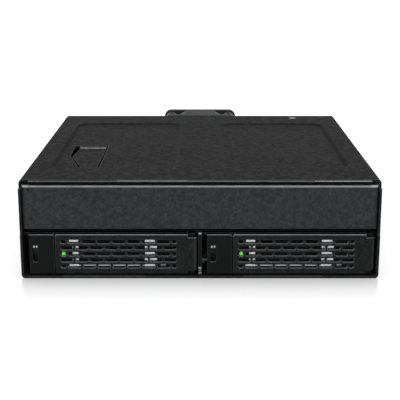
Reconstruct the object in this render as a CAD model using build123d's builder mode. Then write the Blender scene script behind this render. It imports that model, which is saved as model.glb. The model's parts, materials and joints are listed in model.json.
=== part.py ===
"""Half-height drive cage for a 5.25-inch bay.

A folded steel housing with a blanked upper compartment, two side-by-side
hot-swap carriers for 2.5-inch drives below it, and a 40 mm fan at the rear.

Origin: middle of the lower front edge of the housing.
+X right, +Y towards the rear, +Z up.  Millimetres.
"""

import math
import os

from build123d import *

os.makedirs("parts", exist_ok=True)

# Housing
cage_width = 146.0
cage_height = 41.0
cage_depth = 148.0
sheet = 1.0
bend_radius = 1.6
fit_gap = 0.1

# bay standard: M3 holes in the sides and in the bottom
mount_hole_radius = 1.5
mount_front_y = 47.4
mount_pitch_y = 79.25
mount_low_z = 10.0
mount_high_z = 21.84
mount_bottom_edge = 3.15

# seam between the lower walls and the skirt of the cover
seam_z = 18.2
wall_tab_length = 14.0
wall_tab_front_y = 30.0
wall_tab_rear_room = 36.0
wall_tab_top_gap = 5.1
cover_screw_drop = 3.9
screw_m3_radius = 1.5
screw_head_radius = 2.4

# cover pressings
panel_depth = 0.7
panel_slope = 1.8
panel_side_room = 9.6
panel_band_x = 9.0
panel_front_y = 21.0
panel_rear_room = 21.5
panel_corner = 8.0
front_relief_width = 3.3
front_relief_drop = 3.4
front_relief_depth = 2.6
tab_hinge_y = 27.0
tab_tip_y = 50.0
tab_far_y = 68.5
tab_slot_overrun = 2.4
tab_side_room = 29.2
tab_hinge_width = 7.0
tab_tip_width = 13.4
tab_far_width = 12.3
tab_far_gap = 2.2
tab_gap = 0.9
tab_droop_deg = 1.3
clip_side_room = 23.1
clip_rear_room = 6.2
clip_slot_width = 4.0
clip_slot_length = 5.6
clip_sheet = 0.5
clip_wing = 2.0
screw_length = 4.0
drive_recess = 2.6
pan_head_radius = 2.8
pan_head_height = 1.7
pan_head_bevel = 0.5

# Levels
shelf_front_y = 4.0
shelf_flange = 6.0
shelf_board_gap = 1.0
divider_front_y = 0.8
divider_hem = 1.6
divider_hem_depth = 3.0
divider_hem_round = 0.7
divider_tab_length = 8.0
divider_tab_front_y = 20.0
divider_tab_rear_room = 36.0
vent_pitch_x = 14.0
vent_pitch_y = 34.0
vent_columns = 3
vent_rows = 2
vent_length = 10.0
vent_width = 4.0

# Blank front of the upper compartment
blank_gap_side = 0.4
blank_bottom_gap = 0.4
blank_top_gap = 0.9
blank_front_y = 0.4
blank_wall = 1.6
blank_return = 9.0
blank_edge_radius = 1.4
blank_clip_length = 10.0
blank_clip_lead = 1.0
blank_clip_bow = 4.0
blank_clip_width = 6.0
blank_clip_sheet = 0.4
blank_rib = 1.2
blank_rib_depth = 5.0
blank_rib_pitch = 42.0

# Carriers
drive_hole_pitch_x = 61.72
drive_hole_pitch_y = 76.6
drive_hole_from_rear = 14.0
drive_seat_gap = 4.2

sled_side_clearance = 1.0
sled_sheet = 0.8
sled_bottom_z = 3.0
sled_front_y = 14.0
sled_board_gap = 6.1
sled_tongue_front_y = 7.0
ear_front_y = 3.2
sled_side_drop = 0.9
sled_window_width = 34.0
sled_window_length = 28.0
sled_window_pitch = 38.0
sled_window_corner = 3.0
drive_hole_radius = 1.6
lug_inset = 0.6
lug_height = 5.4
bezel_foot = 1.3
bezel_screw_hinge_room = 11.9
bezel_screw_z = 4.3
tray_screw_radius = 0.9
tray_screw_head = 1.4
tray_screw_sink = 0.7
ear_top_gap = 0.3
ear_left_width = 3.9
ear_right_width = 4.9
window_left_room = 5.25
window_hinge_room = 14.3

bezel_front_y = 3.1
bezel_top_gap = 0.5
bezel_rail = 1.3
bezel_rail_depth = 3.4

front_face_y = 0.5
front_thick = 2.2
door_foot = 1.2
door_top_gap = 0.1
hinge_side_room = 3.3
hinge_face_gap = 0.1
hinge_pin_radius = 0.75
hinge_running_gap = 0.05
hinge_nose_gap = 0.35
hinge_lug = 1.4
hinge_lug_radius = 1.3
lug_gap = 0.15
edge_round = 0.6

slot_width = 5.3
slot_height = 1.6
slot_pitch_x = 6.07
slot_pitch_z = 2.6
slot_rows = 5
slot_top_room = 3.1
slot_left_room = 2.15
slot_hinge_room = 6.3
slot_corner = 0.45
slot_stub = 2.1

latch_side_room = 2.8
latch_width = 10.35
latch_gap = 0.3
latch_travel = 1.5
latch_foot_width = 4.0
latch_foot_height = 6.0
latch_foot_depth = 4.0
latch_groove_gap = 0.2
latch_foot_room = 5.9
notch_size = 0.8
lock_slot_room = 1.4
lock_slot_width = 2.3
lock_slot_bottom_z = 6.9
lock_end_room = 0.5
lock_slot_corner = 0.4
lock_knob_height = 3.6
lock_travel = 3.2
lock_recess = 0.8
lock_side_gap = 0.15
lock_rear_gap = 0.2
lock_corner = 0.3
lock_rib_pitch = 1.1
lock_rib_drop = 0.8
lock_rib_width = 0.5
lock_rib_height = 0.8
lock_rib_proud = 0.4

light_side_room = 3.35
light_row = 2
light_radius = 0.75
light_window_radius = 1.1
light_tip_y = 0.9
light_bend_radius = 2.0
light_drop_y = 19.5
light_low_z = 2.1
light_board_gap = 4.6
light_gap = 0.2
light_block_width = 1.4
light_block_height = 8.0
light_slot_length = 12.0

guide_side_room = 10.2
guide_wall = 0.7
guide_lip = 1.3
guide_gap = 0.15
guide_front_y = 26.0
runner_clear = 0.3

# Backplane and rear
board_rear_room = 14.4
board_thick = 1.6
board_side_gap = 1.5
board_bottom_z = 1.6
board_top_gap = 2.4
board_corner = 1.5
standoff_radius = 2.4
standoff_side_edge = 3.2
standoff_low_edge = 4.9
standoff_high_edge = 4.1
led_size = 1.6
led_height = 1.2
led_lift = 0.4

drive_port_width = 42.0
drive_port_height = 5.4
drive_port_depth = 8.6
drive_port_offset_x = 6.4
drive_port_centre_z = 3.5
data_port_width = 16.6
power_port_width = 27.0
rear_port_height = 6.4
rear_port_inset = 0.5
rear_port_wall = 0.9
rear_port_low_z = 10.0
rear_port_high_edge = 8.6
rear_port_side_room = 28.0
rear_port_corner = 0.5
rear_port_mouth_corner = 0.3
port_gap = 0.3
port_floor = 1.6
drive_port_slot = 1.3
drive_port_key = 1.9
power_slot_length = 21.2
data_slot_length = 10.5
slot_bridge = 2.5
horn_width = 2.2
horn_length = 3.4
horn_edge = 0.5
horn_taper_deg = 8.0
blade_inset = 1.2
blade_thick = 1.2
blade_key = 1.9
blade_recess = 1.0
rear_flange = 7.0
board_window_offset_x = 6.0
board_window_z = 19.5
board_window_corner = 2.0
board_window_width = 30.0
board_window_height = 10.4
header_fan_gap = 3.0
header_edge = 3.6
header_pin_pitch = 2.54
header_pin_size = 0.64
header_pin_count = 3
header_width = 7.6
header_height = 3.2
header_depth = 6.0
header_wall = 0.5
switch_offset_x = 8.0
switch_width = 8.6
switch_height = 4.4
switch_slot_width = 6.0
switch_slot_height = 2.4
switch_slot_depth = 2.0
switch_travel = 2.0
switch_knob_proud = 1.2
knob_groove_pitch = 0.8
knob_groove = 0.3

# Fan
fan_size = 40.0
fan_depth = 20.0
fan_flange = 3.5
fan_corner = 3.6
fan_rim = 1.0
fan_hole_edge = 4.0
fan_hole_radius = 1.75
fan_gasket_depth = 4.2
fan_gasket_inset = 0.3
fan_gasket_bore_gap = 0.2
fan_flat_front = 10.0
fan_flat_rear = 6.0
fan_blade_length = 8.5
fan_hub_wall = 1.2
fan_hub_round = 1.0
fan_blade_tip_gap = 0.6
fan_blade_count = 7
fan_blade_thick = 0.9
fan_blade_sink = 0.4
fan_blade_end_gap = 0.75
fan_strut_width = 2.0
fan_strut_depth = 2.2
fan_strut_sink = 0.6
fan_shaft_radius = 1.0
fan_shaft_gap = 0.05
fan_bearing_radius = 2.6
fan_bearing_length = 12.0
fan_post_radius = 3.2
fan_root_pitch = 52.0
fan_tip_pitch = 38.0
rotor_inset = 0.8
rotor_gap = 0.5
stator_gap = 1.5
stator_core_radius = 4.4
stator_rim_gap = 0.7
stator_depth = 7.0
stator_pole_width = 2.2
stator_shoe_length = 6.0
stator_shoe = 1.2
nut_radius = 3.1
nut_height = 2.4

# Derived sizes
half_width = cage_width / 2
inner_half = half_width - sheet
cover_under_z = cage_height - sheet
rear_plate_y = cage_depth - sheet
tab_outer = inner_half - fit_gap
tab_inner = tab_outer - sheet
wall_tab_rear_y = cage_depth - wall_tab_rear_room
wall_tab_centres_y = (
    wall_tab_front_y,
    (wall_tab_front_y + wall_tab_rear_y) / 2,
    wall_tab_rear_y,
)
wall_tab_top_z = cover_under_z - wall_tab_top_gap
cover_screw_z = wall_tab_top_z - cover_screw_drop
mount_rows_y = (mount_front_y, mount_front_y + mount_pitch_y)
mount_bottom_pitch_x = cage_width - 2 * mount_bottom_edge
panel_side_x = half_width - panel_side_room
panel_rear_y = cage_depth - panel_rear_room
tab_right_x = -half_width + tab_side_room
tab_left_hinge_x = tab_right_x - tab_hinge_width
tab_left_tip_x = tab_right_x - tab_tip_width
tab_far_left_x = tab_right_x - tab_far_width
tab_opening_far_y = tab_far_y + tab_gap
tab_slots_end_y = tab_opening_far_y + tab_slot_overrun
clip_slot_x = half_width - clip_side_room
clip_slot_y = cage_depth - clip_rear_room

board_front_y = rear_plate_y - board_rear_room
board_rear_y = board_front_y + board_thick
board_half = inner_half - board_side_gap
board_top_z = cover_under_z - board_top_gap
standoff_places = [
    (side * (board_half - standoff_side_edge), height)
    for side in (-1, 1)
    for height in (board_bottom_z + standoff_low_edge, board_top_z - standoff_high_edge)
]
rear_port_x = inner_half - rear_port_side_room
rear_port_high_z = board_top_z - rear_port_high_edge
rear_ports = {
    "data_port_a": (-rear_port_x, rear_port_low_z, data_port_width),
    "data_port_b": (-rear_port_x, rear_port_high_z, data_port_width),
    "power_port": (rear_port_x, rear_port_low_z, power_port_width),
}
switch_x = rear_port_x + switch_offset_x
switch_z = rear_port_high_z
board_window_x = rear_port_x - board_window_offset_x

shelf_z = seam_z + sheet
shelf_half = tab_inner - fit_gap
shelf_rear_y = board_front_y - shelf_board_gap
divider_slot_half = sheet / 2 + fit_gap
divider_slot_length = divider_tab_length + 2 * fit_gap
divider_tab_rear_y = cage_depth - divider_tab_rear_room
divider_tabs_y = (
    divider_tab_front_y,
    (divider_tab_front_y + divider_tab_rear_y) / 2,
    divider_tab_rear_y,
)
blank_half = inner_half - blank_gap_side
blank_rear_y = blank_front_y + blank_return
blank_bottom_z = shelf_z + sheet + blank_bottom_gap
blank_top_z = cover_under_z - blank_top_gap

bay_pitch = inner_half + sheet / 2 - fit_gap
bay_centres = {"a": -bay_pitch / 2, "b": bay_pitch / 2}
sled_half = bay_pitch / 2 - sled_side_clearance
sled_top_z = sled_bottom_z + sled_sheet
sled_rear_y = board_front_y - sled_board_gap
drive_rear_y = board_front_y - drive_seat_gap
drive_holes_y = drive_rear_y - drive_hole_from_rear - drive_hole_pitch_y / 2
bezel_top_z = shelf_z - bezel_top_gap
bezel_bottom_z = sled_bottom_z - bezel_foot
bezel_rear_y = sled_front_y
ear_top_z = bezel_top_z - bezel_rail - ear_top_gap
front_rear_y = front_face_y + front_thick
door_bottom_z = sled_bottom_z - door_foot
door_top_z = bezel_top_z - door_top_gap
latch_left_x = -bay_pitch / 2 + latch_side_room
latch_right_x = latch_left_x + latch_width
latch_foot_left = latch_left_x + latch_foot_room
latch_centre_z = (door_bottom_z + door_top_z) / 2
door_left_x = latch_right_x + latch_gap
hinge_x = bay_pitch / 2 - hinge_side_room
hinge_y = front_rear_y - hinge_face_gap
hinge_nose_radius = hinge_y - front_face_y
door_right_x = hinge_x + hinge_nose_radius
window_left_x = door_left_x + window_left_room
window_right_x = hinge_x - window_hinge_room
bezel_screw_x = hinge_x - bezel_screw_hinge_room
ear_spans = (
    (window_left_x + fit_gap, window_left_x + ear_left_width),
    (window_right_x - ear_right_width, window_right_x - fit_gap),
)
lock_slot_left_x = latch_left_x + lock_slot_room
lock_x = lock_slot_left_x + lock_slot_width / 2
lock_slot_height = lock_knob_height + lock_travel + lock_end_room
slot_row_top_z = door_top_z - slot_top_room
slot_field_left_x = door_left_x + slot_left_room
slot_field_right_x = hinge_x - slot_hinge_room
slot_columns = math.ceil((slot_field_right_x - slot_field_left_x) / slot_pitch_x) + 2
light_x = door_left_x + light_side_room
light_z = slot_row_top_z - light_row * slot_pitch_z
light_rear_y = board_front_y - light_board_gap
light_block_right_x = window_left_x + light_block_width
guide_x = sled_half - guide_side_room

fan_centre_z = cage_height / 2
fan_bore_radius = fan_size / 2 - fan_rim
fan_hole_pitch = fan_size - 2 * fan_hole_edge
fan_hub_radius = fan_bore_radius - fan_blade_length
fan_front_y = cage_depth + fan_gasket_depth
fan_rear_y = fan_front_y + fan_depth
stator_radius = fan_hub_radius - fan_hub_wall - stator_rim_gap
header_x = fan_size / 2 + header_fan_gap
header_z = board_top_z - header_edge


def front_plane(y):
    """Plane parallel to the front, at depth y; local x is +X, local y is +Z."""
    return Plane.XZ.offset(-y)


def side_plane(x):
    """Plane across the cage at x; local x is +Y, local y is +Z."""
    return Plane.YZ.offset(x)


def span(u0, u1, v0, v1, mode=Mode.ADD):
    """Rectangle given by its limits on the current sketch plane."""
    with Locations(((u0 + u1) / 2, (v0 + v1) / 2)):
        Rectangle(abs(u1 - u0), abs(v1 - v0), mode=mode)


def save(part, name):
    part.label = name
    export_step(part, f"parts/{name}.step")


# Housing

with BuildPart() as chassis_body:
    # folded channel: floor and the two lower walls
    with BuildSketch(front_plane(0)) as channel:
        span(-half_width, half_width, 0, seam_z)
        fillet(channel.vertices().group_by(Axis.Y)[0], bend_radius)
        span(-inner_half, inner_half, sheet, seam_z + sheet, mode=Mode.SUBTRACT)
    extrude(amount=-cage_depth)
    # joggled tabs that stand inside the skirt of the cover
    for side in (-1, 1):
        for tab_y in wall_tab_centres_y:
            with BuildSketch(front_plane(tab_y - wall_tab_length / 2)):
                with BuildLine():
                    Polyline(
                        (side * half_width, seam_z - sheet),
                        (side * half_width, seam_z),
                        (side * tab_outer, seam_z + sheet),
                        (side * tab_outer, wall_tab_top_z),
                        (side * tab_inner, wall_tab_top_z),
                        (side * tab_inner, seam_z + sheet),
                        (side * inner_half, seam_z),
                        (side * inner_half, seam_z - sheet),
                        close=True,
                    )
                make_face()
            extrude(amount=-wall_tab_length)
            with BuildSketch(side_plane(side * half_width)):
                with Locations((tab_y, cover_screw_z)):
                    Circle(screw_m3_radius)
            extrude(amount=-side * 4 * sheet, mode=Mode.SUBTRACT)
    # M3 holes of the bay standard in both walls and in the floor
    with BuildSketch(side_plane(-half_width - sheet)):
        for hole_y in mount_rows_y:
            with Locations((hole_y, mount_low_z)):
                Circle(mount_hole_radius)
    extrude(amount=cage_width + 2 * sheet, mode=Mode.SUBTRACT)
    with BuildSketch(Plane.XY):
        with Locations((0, mount_front_y + mount_pitch_y / 2)):
            with GridLocations(mount_bottom_pitch_x, mount_pitch_y, 2, 2):
                Circle(mount_hole_radius)
        for tab_y in divider_tabs_y:
            span(
                -divider_slot_half,
                divider_slot_half,
                tab_y - divider_slot_length / 2,
                tab_y + divider_slot_length / 2,
            )
    extrude(amount=sheet, mode=Mode.SUBTRACT)

with BuildPart() as top_cover:
    # plate with a skirt folded down on both sides
    with BuildSketch(front_plane(0)) as hood:
        span(-half_width, half_width, seam_z + fit_gap, cage_height)
        fillet(hood.vertices().group_by(Axis.Y)[-1], bend_radius)
        span(-inner_half, inner_half, seam_z - sheet, cover_under_z, mode=Mode.SUBTRACT)
    extrude(amount=-cage_depth)
    # rounded front lip
    front_top = top_cover.edges().filter_by(Axis.X).group_by(Axis.Y)[0].sort_by(Axis.Z)[-1]
    fillet(front_top, 0.6 * sheet)
    # two shallow pressed panels, each with sloping sides
    panel_middle_y = (panel_front_y + panel_rear_y) / 2
    for side in (-1, 1):
        panel_middle_x = side * (panel_side_x + panel_band_x) / 2
        for start_z, spread, mode in (
            (cover_under_z, panel_depth, Mode.ADD),
            (cage_height, 0, Mode.SUBTRACT),
        ):
            for sink, shrink in ((0, 0), (panel_depth, panel_slope)):
                with BuildSketch(Plane.XY.offset(start_z - sink)):
                    with Locations((panel_middle_x, panel_middle_y)):
                        RectangleRounded(
                            panel_side_x - panel_band_x + spread - 2 * shrink,
                            panel_rear_y - panel_front_y + spread - 2 * shrink,
                            panel_corner - shrink,
                        )
            loft(mode=mode)
    # corner reliefs, opening of the spring tab and slot of the clip
    with BuildSketch(Plane.XY.offset(cage_height)):
        for side in (-1, 1):
            span(
                side * (inner_half - front_relief_width),
                side * inner_half,
                0,
                front_relief_depth,
            )
        with BuildLine():
            Polyline(
                (tab_left_hinge_x - tab_gap, tab_hinge_y),
                (tab_left_tip_x - tab_gap, tab_tip_y),
                (tab_far_left_x - tab_far_gap, tab_slots_end_y),
                (tab_far_left_x, tab_slots_end_y),
                (tab_far_left_x, tab_opening_far_y),
                (tab_right_x, tab_opening_far_y),
                (tab_right_x, tab_slots_end_y),
                (tab_right_x + tab_gap, tab_slots_end_y),
                (tab_right_x + tab_gap, tab_hinge_y),
                close=True,
            )
        make_face()
        with Locations((clip_slot_x, clip_slot_y)):
            Rectangle(clip_slot_width, clip_slot_length)
    extrude(amount=-3 * sheet, mode=Mode.SUBTRACT)
    # the reliefs go on round the bend into the skirt
    for side in (-1, 1):
        with BuildSketch(side_plane(side * inner_half)):
            span(0, front_relief_depth, cage_height - front_relief_drop, cage_height)
        extrude(amount=side * 2 * sheet, mode=Mode.SUBTRACT)
    # spring tab, bent down towards its free end
    tab_plane = Plane(
        origin=(0, tab_hinge_y, cage_height - panel_depth),
        x_dir=(1, 0, 0),
        z_dir=Vector(0, 0, 1).rotate(Axis.X, -tab_droop_deg),
    )
    with BuildSketch(tab_plane):
        with BuildLine():
            Polyline(
                (tab_left_hinge_x, -sheet),
                (tab_left_hinge_x, 0),
                (tab_left_tip_x, tab_tip_y - tab_hinge_y),
                (tab_far_left_x, tab_far_y - tab_hinge_y),
                (tab_right_x, tab_far_y - tab_hinge_y),
                (tab_right_x, -sheet),
                close=True,
            )
        make_face()
    extrude(amount=-sheet)
    # skirt: notches over the joggles, countersunk screw holes, bay holes
    with BuildSketch(side_plane(-half_width - sheet)):
        for tab_y in wall_tab_centres_y:
            span(
                tab_y - wall_tab_length / 2 - fit_gap,
                tab_y + wall_tab_length / 2 + fit_gap,
                seam_z,
                seam_z + sheet + fit_gap,
            )
        for hole_y in mount_rows_y:
            with Locations((hole_y, mount_high_z)):
                Circle(mount_hole_radius)
    extrude(amount=cage_width + 2 * sheet, mode=Mode.SUBTRACT)
    for side in (-1, 1):
        skirt_plane = Plane(
            origin=(side * half_width, 0, cover_screw_z),
            x_dir=(0, 1, 0),
            z_dir=(side, 0, 0),
        )
        with Locations(skirt_plane):
            with Locations(*[(tab_y, 0) for tab_y in wall_tab_centres_y]):
                CounterSinkHole(
                    screw_m3_radius,
                    screw_head_radius,
                    depth=2 * sheet,
                    counter_sink_angle=90,
                )


with BuildPart() as cover_clip:
    # plated spring clip under the cover, its crown standing in the slot
    with BuildSketch(Plane.XY.offset(cover_under_z - clip_sheet)):
        with Locations((clip_slot_x, clip_slot_y)):
            Rectangle(clip_slot_width + 2 * clip_wing, clip_slot_length + clip_sheet)
    extrude(amount=clip_sheet)
    with BuildSketch(Plane.XY.offset(cover_under_z)):
        with Locations((clip_slot_x, clip_slot_y)):
            RectangleRounded(
                clip_slot_width - 2 * fit_gap,
                clip_slot_length - 2 * fit_gap,
                clip_sheet,
            )
    extrude(amount=sheet - clip_sheet / 2)
    fillet(cover_clip.faces().sort_by(Axis.Z)[-1].edges(), clip_sheet / 2)

with BuildPart() as mid_shelf:
    # flat shelf with an upturned flange along each side
    with BuildSketch(front_plane(shelf_front_y)) as shelf_profile:
        span(-shelf_half, shelf_half, shelf_z, shelf_z + shelf_flange)
        fillet(shelf_profile.vertices().group_by(Axis.Y)[0], sheet)
        span(
            -shelf_half + sheet,
            shelf_half - sheet,
            shelf_z + sheet,
            shelf_z + 2 * shelf_flange,
            mode=Mode.SUBTRACT,
        )
    extrude(amount=-(shelf_rear_y - shelf_front_y))
    # flanges stop behind the blank and leave room round the upper bay screws
    for side in (-1, 1):
        with BuildSketch(side_plane(side * half_width)):
            span(
                shelf_front_y,
                blank_rear_y + blank_gap_side,
                shelf_z + sheet,
                shelf_z + 2 * shelf_flange,
            )
            for hole_y in mount_rows_y:
                with Locations((hole_y, mount_high_z)):
                    Rectangle(4 * mount_hole_radius, 2 * shelf_flange)
        extrude(amount=-side * (half_width - shelf_half + 2 * sheet), mode=Mode.SUBTRACT)
    # slots that take the upper tabs of the divider, and rows of air slots
    with BuildSketch(Plane.XY.offset(shelf_z)):
        for tab_y in divider_tabs_y:
            span(
                -divider_slot_half,
                divider_slot_half,
                tab_y - divider_slot_length / 2,
                tab_y + divider_slot_length / 2,
            )
        for centre_x in bay_centres.values():
            with Locations((centre_x, (shelf_front_y + shelf_rear_y) / 2)):
                with GridLocations(vent_pitch_x, vent_pitch_y, vent_columns, vent_rows):
                    SlotOverall(vent_length, vent_width)
    extrude(amount=sheet, mode=Mode.SUBTRACT)

with BuildPart() as centre_divider:
    # upright between the two carriers, hemmed along its front edge
    with BuildSketch(side_plane(-sheet / 2)):
        span(divider_front_y, shelf_rear_y, sheet, shelf_z)
        for tab_y in divider_tabs_y:
            span(
                tab_y - divider_tab_length / 2,
                tab_y + divider_tab_length / 2,
                0,
                shelf_z + sheet,
            )
    extrude(amount=sheet)
    with BuildSketch(Plane.XY.offset(sheet)):
        with Locations((0, divider_front_y + divider_hem_depth / 2)):
            RectangleRounded(divider_hem, divider_hem_depth, divider_hem_round)
    extrude(amount=shelf_z - sheet)

with BuildPart() as rear_plate:
    with BuildSketch(front_plane(rear_plate_y)):
        span(-tab_outer, tab_outer, sheet + fit_gap, cover_under_z - fit_gap)
    extrude(amount=-sheet)
    # side flanges folded forwards
    with BuildSketch(front_plane(rear_plate_y)):
        for side in (-1, 1):
            span(
                side * tab_outer,
                side * tab_inner,
                sheet + fit_gap,
                cover_under_z - panel_depth - fit_gap,
            )
    extrude(amount=rear_flange)
    # fan opening with its screw holes, port cut-outs and standoff holes
    with BuildSketch(front_plane(rear_plate_y)):
        with Locations((0, fan_centre_z)):
            Circle(fan_bore_radius)
            with GridLocations(fan_hole_pitch, fan_hole_pitch, 2, 2):
                Circle(fan_hole_radius)
        for port_x, port_z, port_width in rear_ports.values():
            with Locations((port_x, port_z)):
                Rectangle(port_width + 2 * port_gap, rear_port_height + 2 * port_gap)
        with Locations((switch_x, switch_z)):
            Rectangle(switch_width + 2 * port_gap, switch_height + 2 * port_gap)
        for standoff_xz in standoff_places:
            with Locations(standoff_xz):
                Circle(screw_m3_radius)
    extrude(amount=-sheet, mode=Mode.SUBTRACT)

with BuildPart() as standoffs:
    for x, z in standoff_places:
        with BuildSketch(front_plane(board_rear_y)):
            with Locations((x, z)):
                RegularPolygon(standoff_radius, 6)
        extrude(amount=-(rear_plate_y - board_rear_y))

with BuildPart() as board_screws:
    for x, z in standoff_places:
        with BuildSketch(front_plane(board_front_y)):
            with Locations((x, z)):
                Circle(pan_head_radius)
        extrude(amount=pan_head_height)
        with BuildSketch(front_plane(board_front_y)):
            with Locations((x, z)):
                Circle(screw_m3_radius)
        extrude(amount=-board_thick)
    chamfer(board_screws.faces().filter_by(Axis.Y).group_by(Axis.Y)[0].edges(), pan_head_bevel)

with BuildPart() as cover_screws:
    for side in (-1, 1):
        for tab_y in wall_tab_centres_y:
            with BuildSketch(side_plane(side * half_width)):
                with Locations((tab_y, cover_screw_z)):
                    Circle(screw_m3_radius)
            extrude(amount=-side * screw_length)
            head_plane = Plane(
                origin=(side * half_width, tab_y, cover_screw_z),
                x_dir=(0, 1, 0),
                z_dir=(-side, 0, 0),
            )
            with BuildSketch(head_plane):
                Circle(screw_head_radius)
            extrude(amount=screw_head_radius - screw_m3_radius, taper=45)
            with BuildSketch(head_plane):
                Rectangle(drive_recess, drive_recess / 4)
                Rectangle(drive_recess / 4, drive_recess)
            extrude(amount=drive_recess / 4, mode=Mode.SUBTRACT)

# Blank front of the upper compartment

with BuildPart() as blank_cover:
    with BuildSketch(front_plane(blank_front_y)):
        span(-blank_half, blank_half, blank_bottom_z, blank_top_z)
    extrude(amount=-blank_return)
    fillet(blank_cover.edges().group_by(Axis.Y)[0], blank_edge_radius)
    rear_face = blank_cover.faces().sort_by(Axis.Y)[-1]
    offset(amount=-blank_wall, openings=rear_face)
    # ribs that stiffen the panel from behind
    for rib_x in (-blank_rib_pitch, 0, blank_rib_pitch):
        with BuildSketch(front_plane(blank_front_y + blank_wall)):
            span(
                rib_x - blank_rib / 2,
                rib_x + blank_rib / 2,
                blank_bottom_z + blank_wall,
                blank_top_z - blank_wall,
            )
        extrude(amount=-blank_rib_depth)

with BuildPart() as blank_clips:
    # bowed springs on both ends, pressing on the skirt of the cover
    for side in (-1, 1):
        clip_plane = Plane.XY.offset((blank_bottom_z + blank_top_z - blank_clip_width) / 2)
        root_y = blank_front_y + blank_wall
        bend_y = blank_rear_y + blank_clip_lead
        bow_y = blank_rear_y + blank_clip_bow
        end_y = blank_rear_y + blank_clip_length
        root_x = side * (blank_half - blank_wall)
        bow_x = side * (inner_half - fit_gap)
        end_x = root_x - side * blank_clip_lead
        inward = side * blank_clip_sheet
        with BuildSketch(clip_plane):
            with BuildLine():
                Polyline(
                    (root_x, root_y),
                    (root_x, bend_y),
                    (bow_x, bow_y),
                    (end_x, end_y),
                    (end_x - inward, end_y),
                    (bow_x - inward, bow_y),
                    (root_x - inward, bend_y),
                    (root_x - inward, root_y),
                    close=True,
                )
            make_face()
        extrude(amount=blank_clip_width)

# Backplane board and its connectors

with BuildPart() as backplane_board:
    with BuildSketch(front_plane(board_front_y)):
        with Locations((0, (board_bottom_z + board_top_z) / 2)):
            RectangleRounded(2 * board_half, board_top_z - board_bottom_z, board_corner)
        # air openings above the drive ports and in the middle
        for window_x in (-board_window_x, 0, board_window_x):
            with Locations((window_x, board_window_z)):
                RectangleRounded(
                    board_window_width,
                    board_window_height,
                    board_window_corner,
                    mode=Mode.SUBTRACT,
                )
        for x, z in standoff_places:
            with Locations((x, z)):
                Circle(screw_m3_radius, mode=Mode.SUBTRACT)
    extrude(amount=-board_thick)

with BuildPart() as board_leds:
    for centre_x in bay_centres.values():
        with BuildSketch(front_plane(board_front_y)):
            with Locations((centre_x + light_x, light_low_z + led_lift)):
                Rectangle(led_size, led_size)
        extrude(amount=led_height)

with BuildPart() as fan_header:
    with BuildSketch(front_plane(board_rear_y)):
        with Locations((header_x, header_z)):
            Rectangle(header_width, header_height)
    extrude(amount=-header_depth)
    with BuildSketch(front_plane(board_rear_y + header_depth)):
        with Locations((header_x, header_z)):
            Rectangle(header_width - 2 * header_wall, header_height - 2 * header_wall)
    extrude(amount=header_depth - header_wall, mode=Mode.SUBTRACT)
    with BuildSketch(front_plane(board_rear_y)):
        with Locations((header_x, header_z)):
            with GridLocations(header_pin_pitch, header_height, header_pin_count, 1):
                Rectangle(header_pin_size, header_pin_size)
    extrude(amount=-(header_depth - header_wall))


def drive_port(centre_x):
    """Receptacle that the drive plugs into: data and power slots side by side."""
    middle_x = centre_x + drive_port_offset_x
    middle_z = sled_top_z + drive_port_centre_z
    slots_left = middle_x - (power_slot_length + slot_bridge + data_slot_length) / 2
    data_left = slots_left + power_slot_length + slot_bridge
    slots = (
        (slots_left, slots_left + power_slot_length),
        (data_left, data_left + data_slot_length),
    )
    with BuildPart() as port:
        with BuildSketch(front_plane(board_front_y)):
            with Locations((middle_x, middle_z)):
                Rectangle(drive_port_width, drive_port_height)
        extrude(amount=drive_port_depth)
        # L-shaped blades go in here: the long power slot and the short data slot
        with BuildSketch(front_plane(board_front_y - drive_port_depth)):
            for slot_left, slot_right in slots:
                span(
                    slot_left,
                    slot_right,
                    middle_z - drive_port_slot / 2,
                    middle_z + drive_port_slot / 2,
                )
                span(
                    slot_right - drive_port_slot,
                    slot_right,
                    middle_z - drive_port_key,
                    middle_z + drive_port_slot / 2,
                )
        extrude(amount=-(drive_port_depth - port_floor), mode=Mode.SUBTRACT)
        # guide horns at the two ends
        for side in (-1, 1):
            horn_x = middle_x + side * (drive_port_width / 2 - horn_width / 2)
            with BuildSketch(front_plane(board_front_y - drive_port_depth)):
                with Locations((horn_x, middle_z)):
                    Rectangle(horn_width, drive_port_height - 2 * horn_edge)
            extrude(amount=horn_length, taper=horn_taper_deg)
    return port.part


def rear_port(port_x, port_z, port_width):
    """Shrouded header on the back of the board, its mouth in the rear plate."""
    mouth_y = cage_depth - rear_port_inset
    with BuildPart() as port:
        with BuildSketch(front_plane(board_rear_y)):
            with Locations((port_x, port_z)):
                RectangleRounded(port_width, rear_port_height, rear_port_corner)
        extrude(amount=-(mouth_y - board_rear_y))
        with BuildSketch(front_plane(mouth_y)):
            with Locations((port_x, port_z)):
                RectangleRounded(
                    port_width - 2 * rear_port_wall,
                    rear_port_height - 2 * rear_port_wall,
                    rear_port_mouth_corner,
                )
        extrude(amount=mouth_y - board_rear_y - port_floor, mode=Mode.SUBTRACT)
        # blade with its keyed end
        blade_right = port_x + port_width / 2 - rear_port_wall - blade_inset
        blade_left = port_x - port_width / 2 + rear_port_wall + blade_inset
        with BuildSketch(front_plane(board_rear_y)):
            span(blade_left, blade_right, port_z - blade_thick / 2, port_z + blade_thick / 2)
            span(blade_left, blade_left + blade_thick, port_z - blade_key, port_z)
        extrude(amount=-(mouth_y - board_rear_y - blade_recess))
    return port.part


with BuildPart() as speed_switch_body:
    with BuildSketch(front_plane(board_rear_y)):
        with Locations((switch_x, switch_z)):
            Rectangle(switch_width, switch_height)
    extrude(amount=-(cage_depth - rear_port_inset - board_rear_y))
    with BuildSketch(front_plane(cage_depth - rear_port_inset)):
        with Locations((switch_x, switch_z)):
            Rectangle(switch_slot_width, switch_slot_height)
    extrude(amount=switch_slot_depth, mode=Mode.SUBTRACT)

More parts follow.
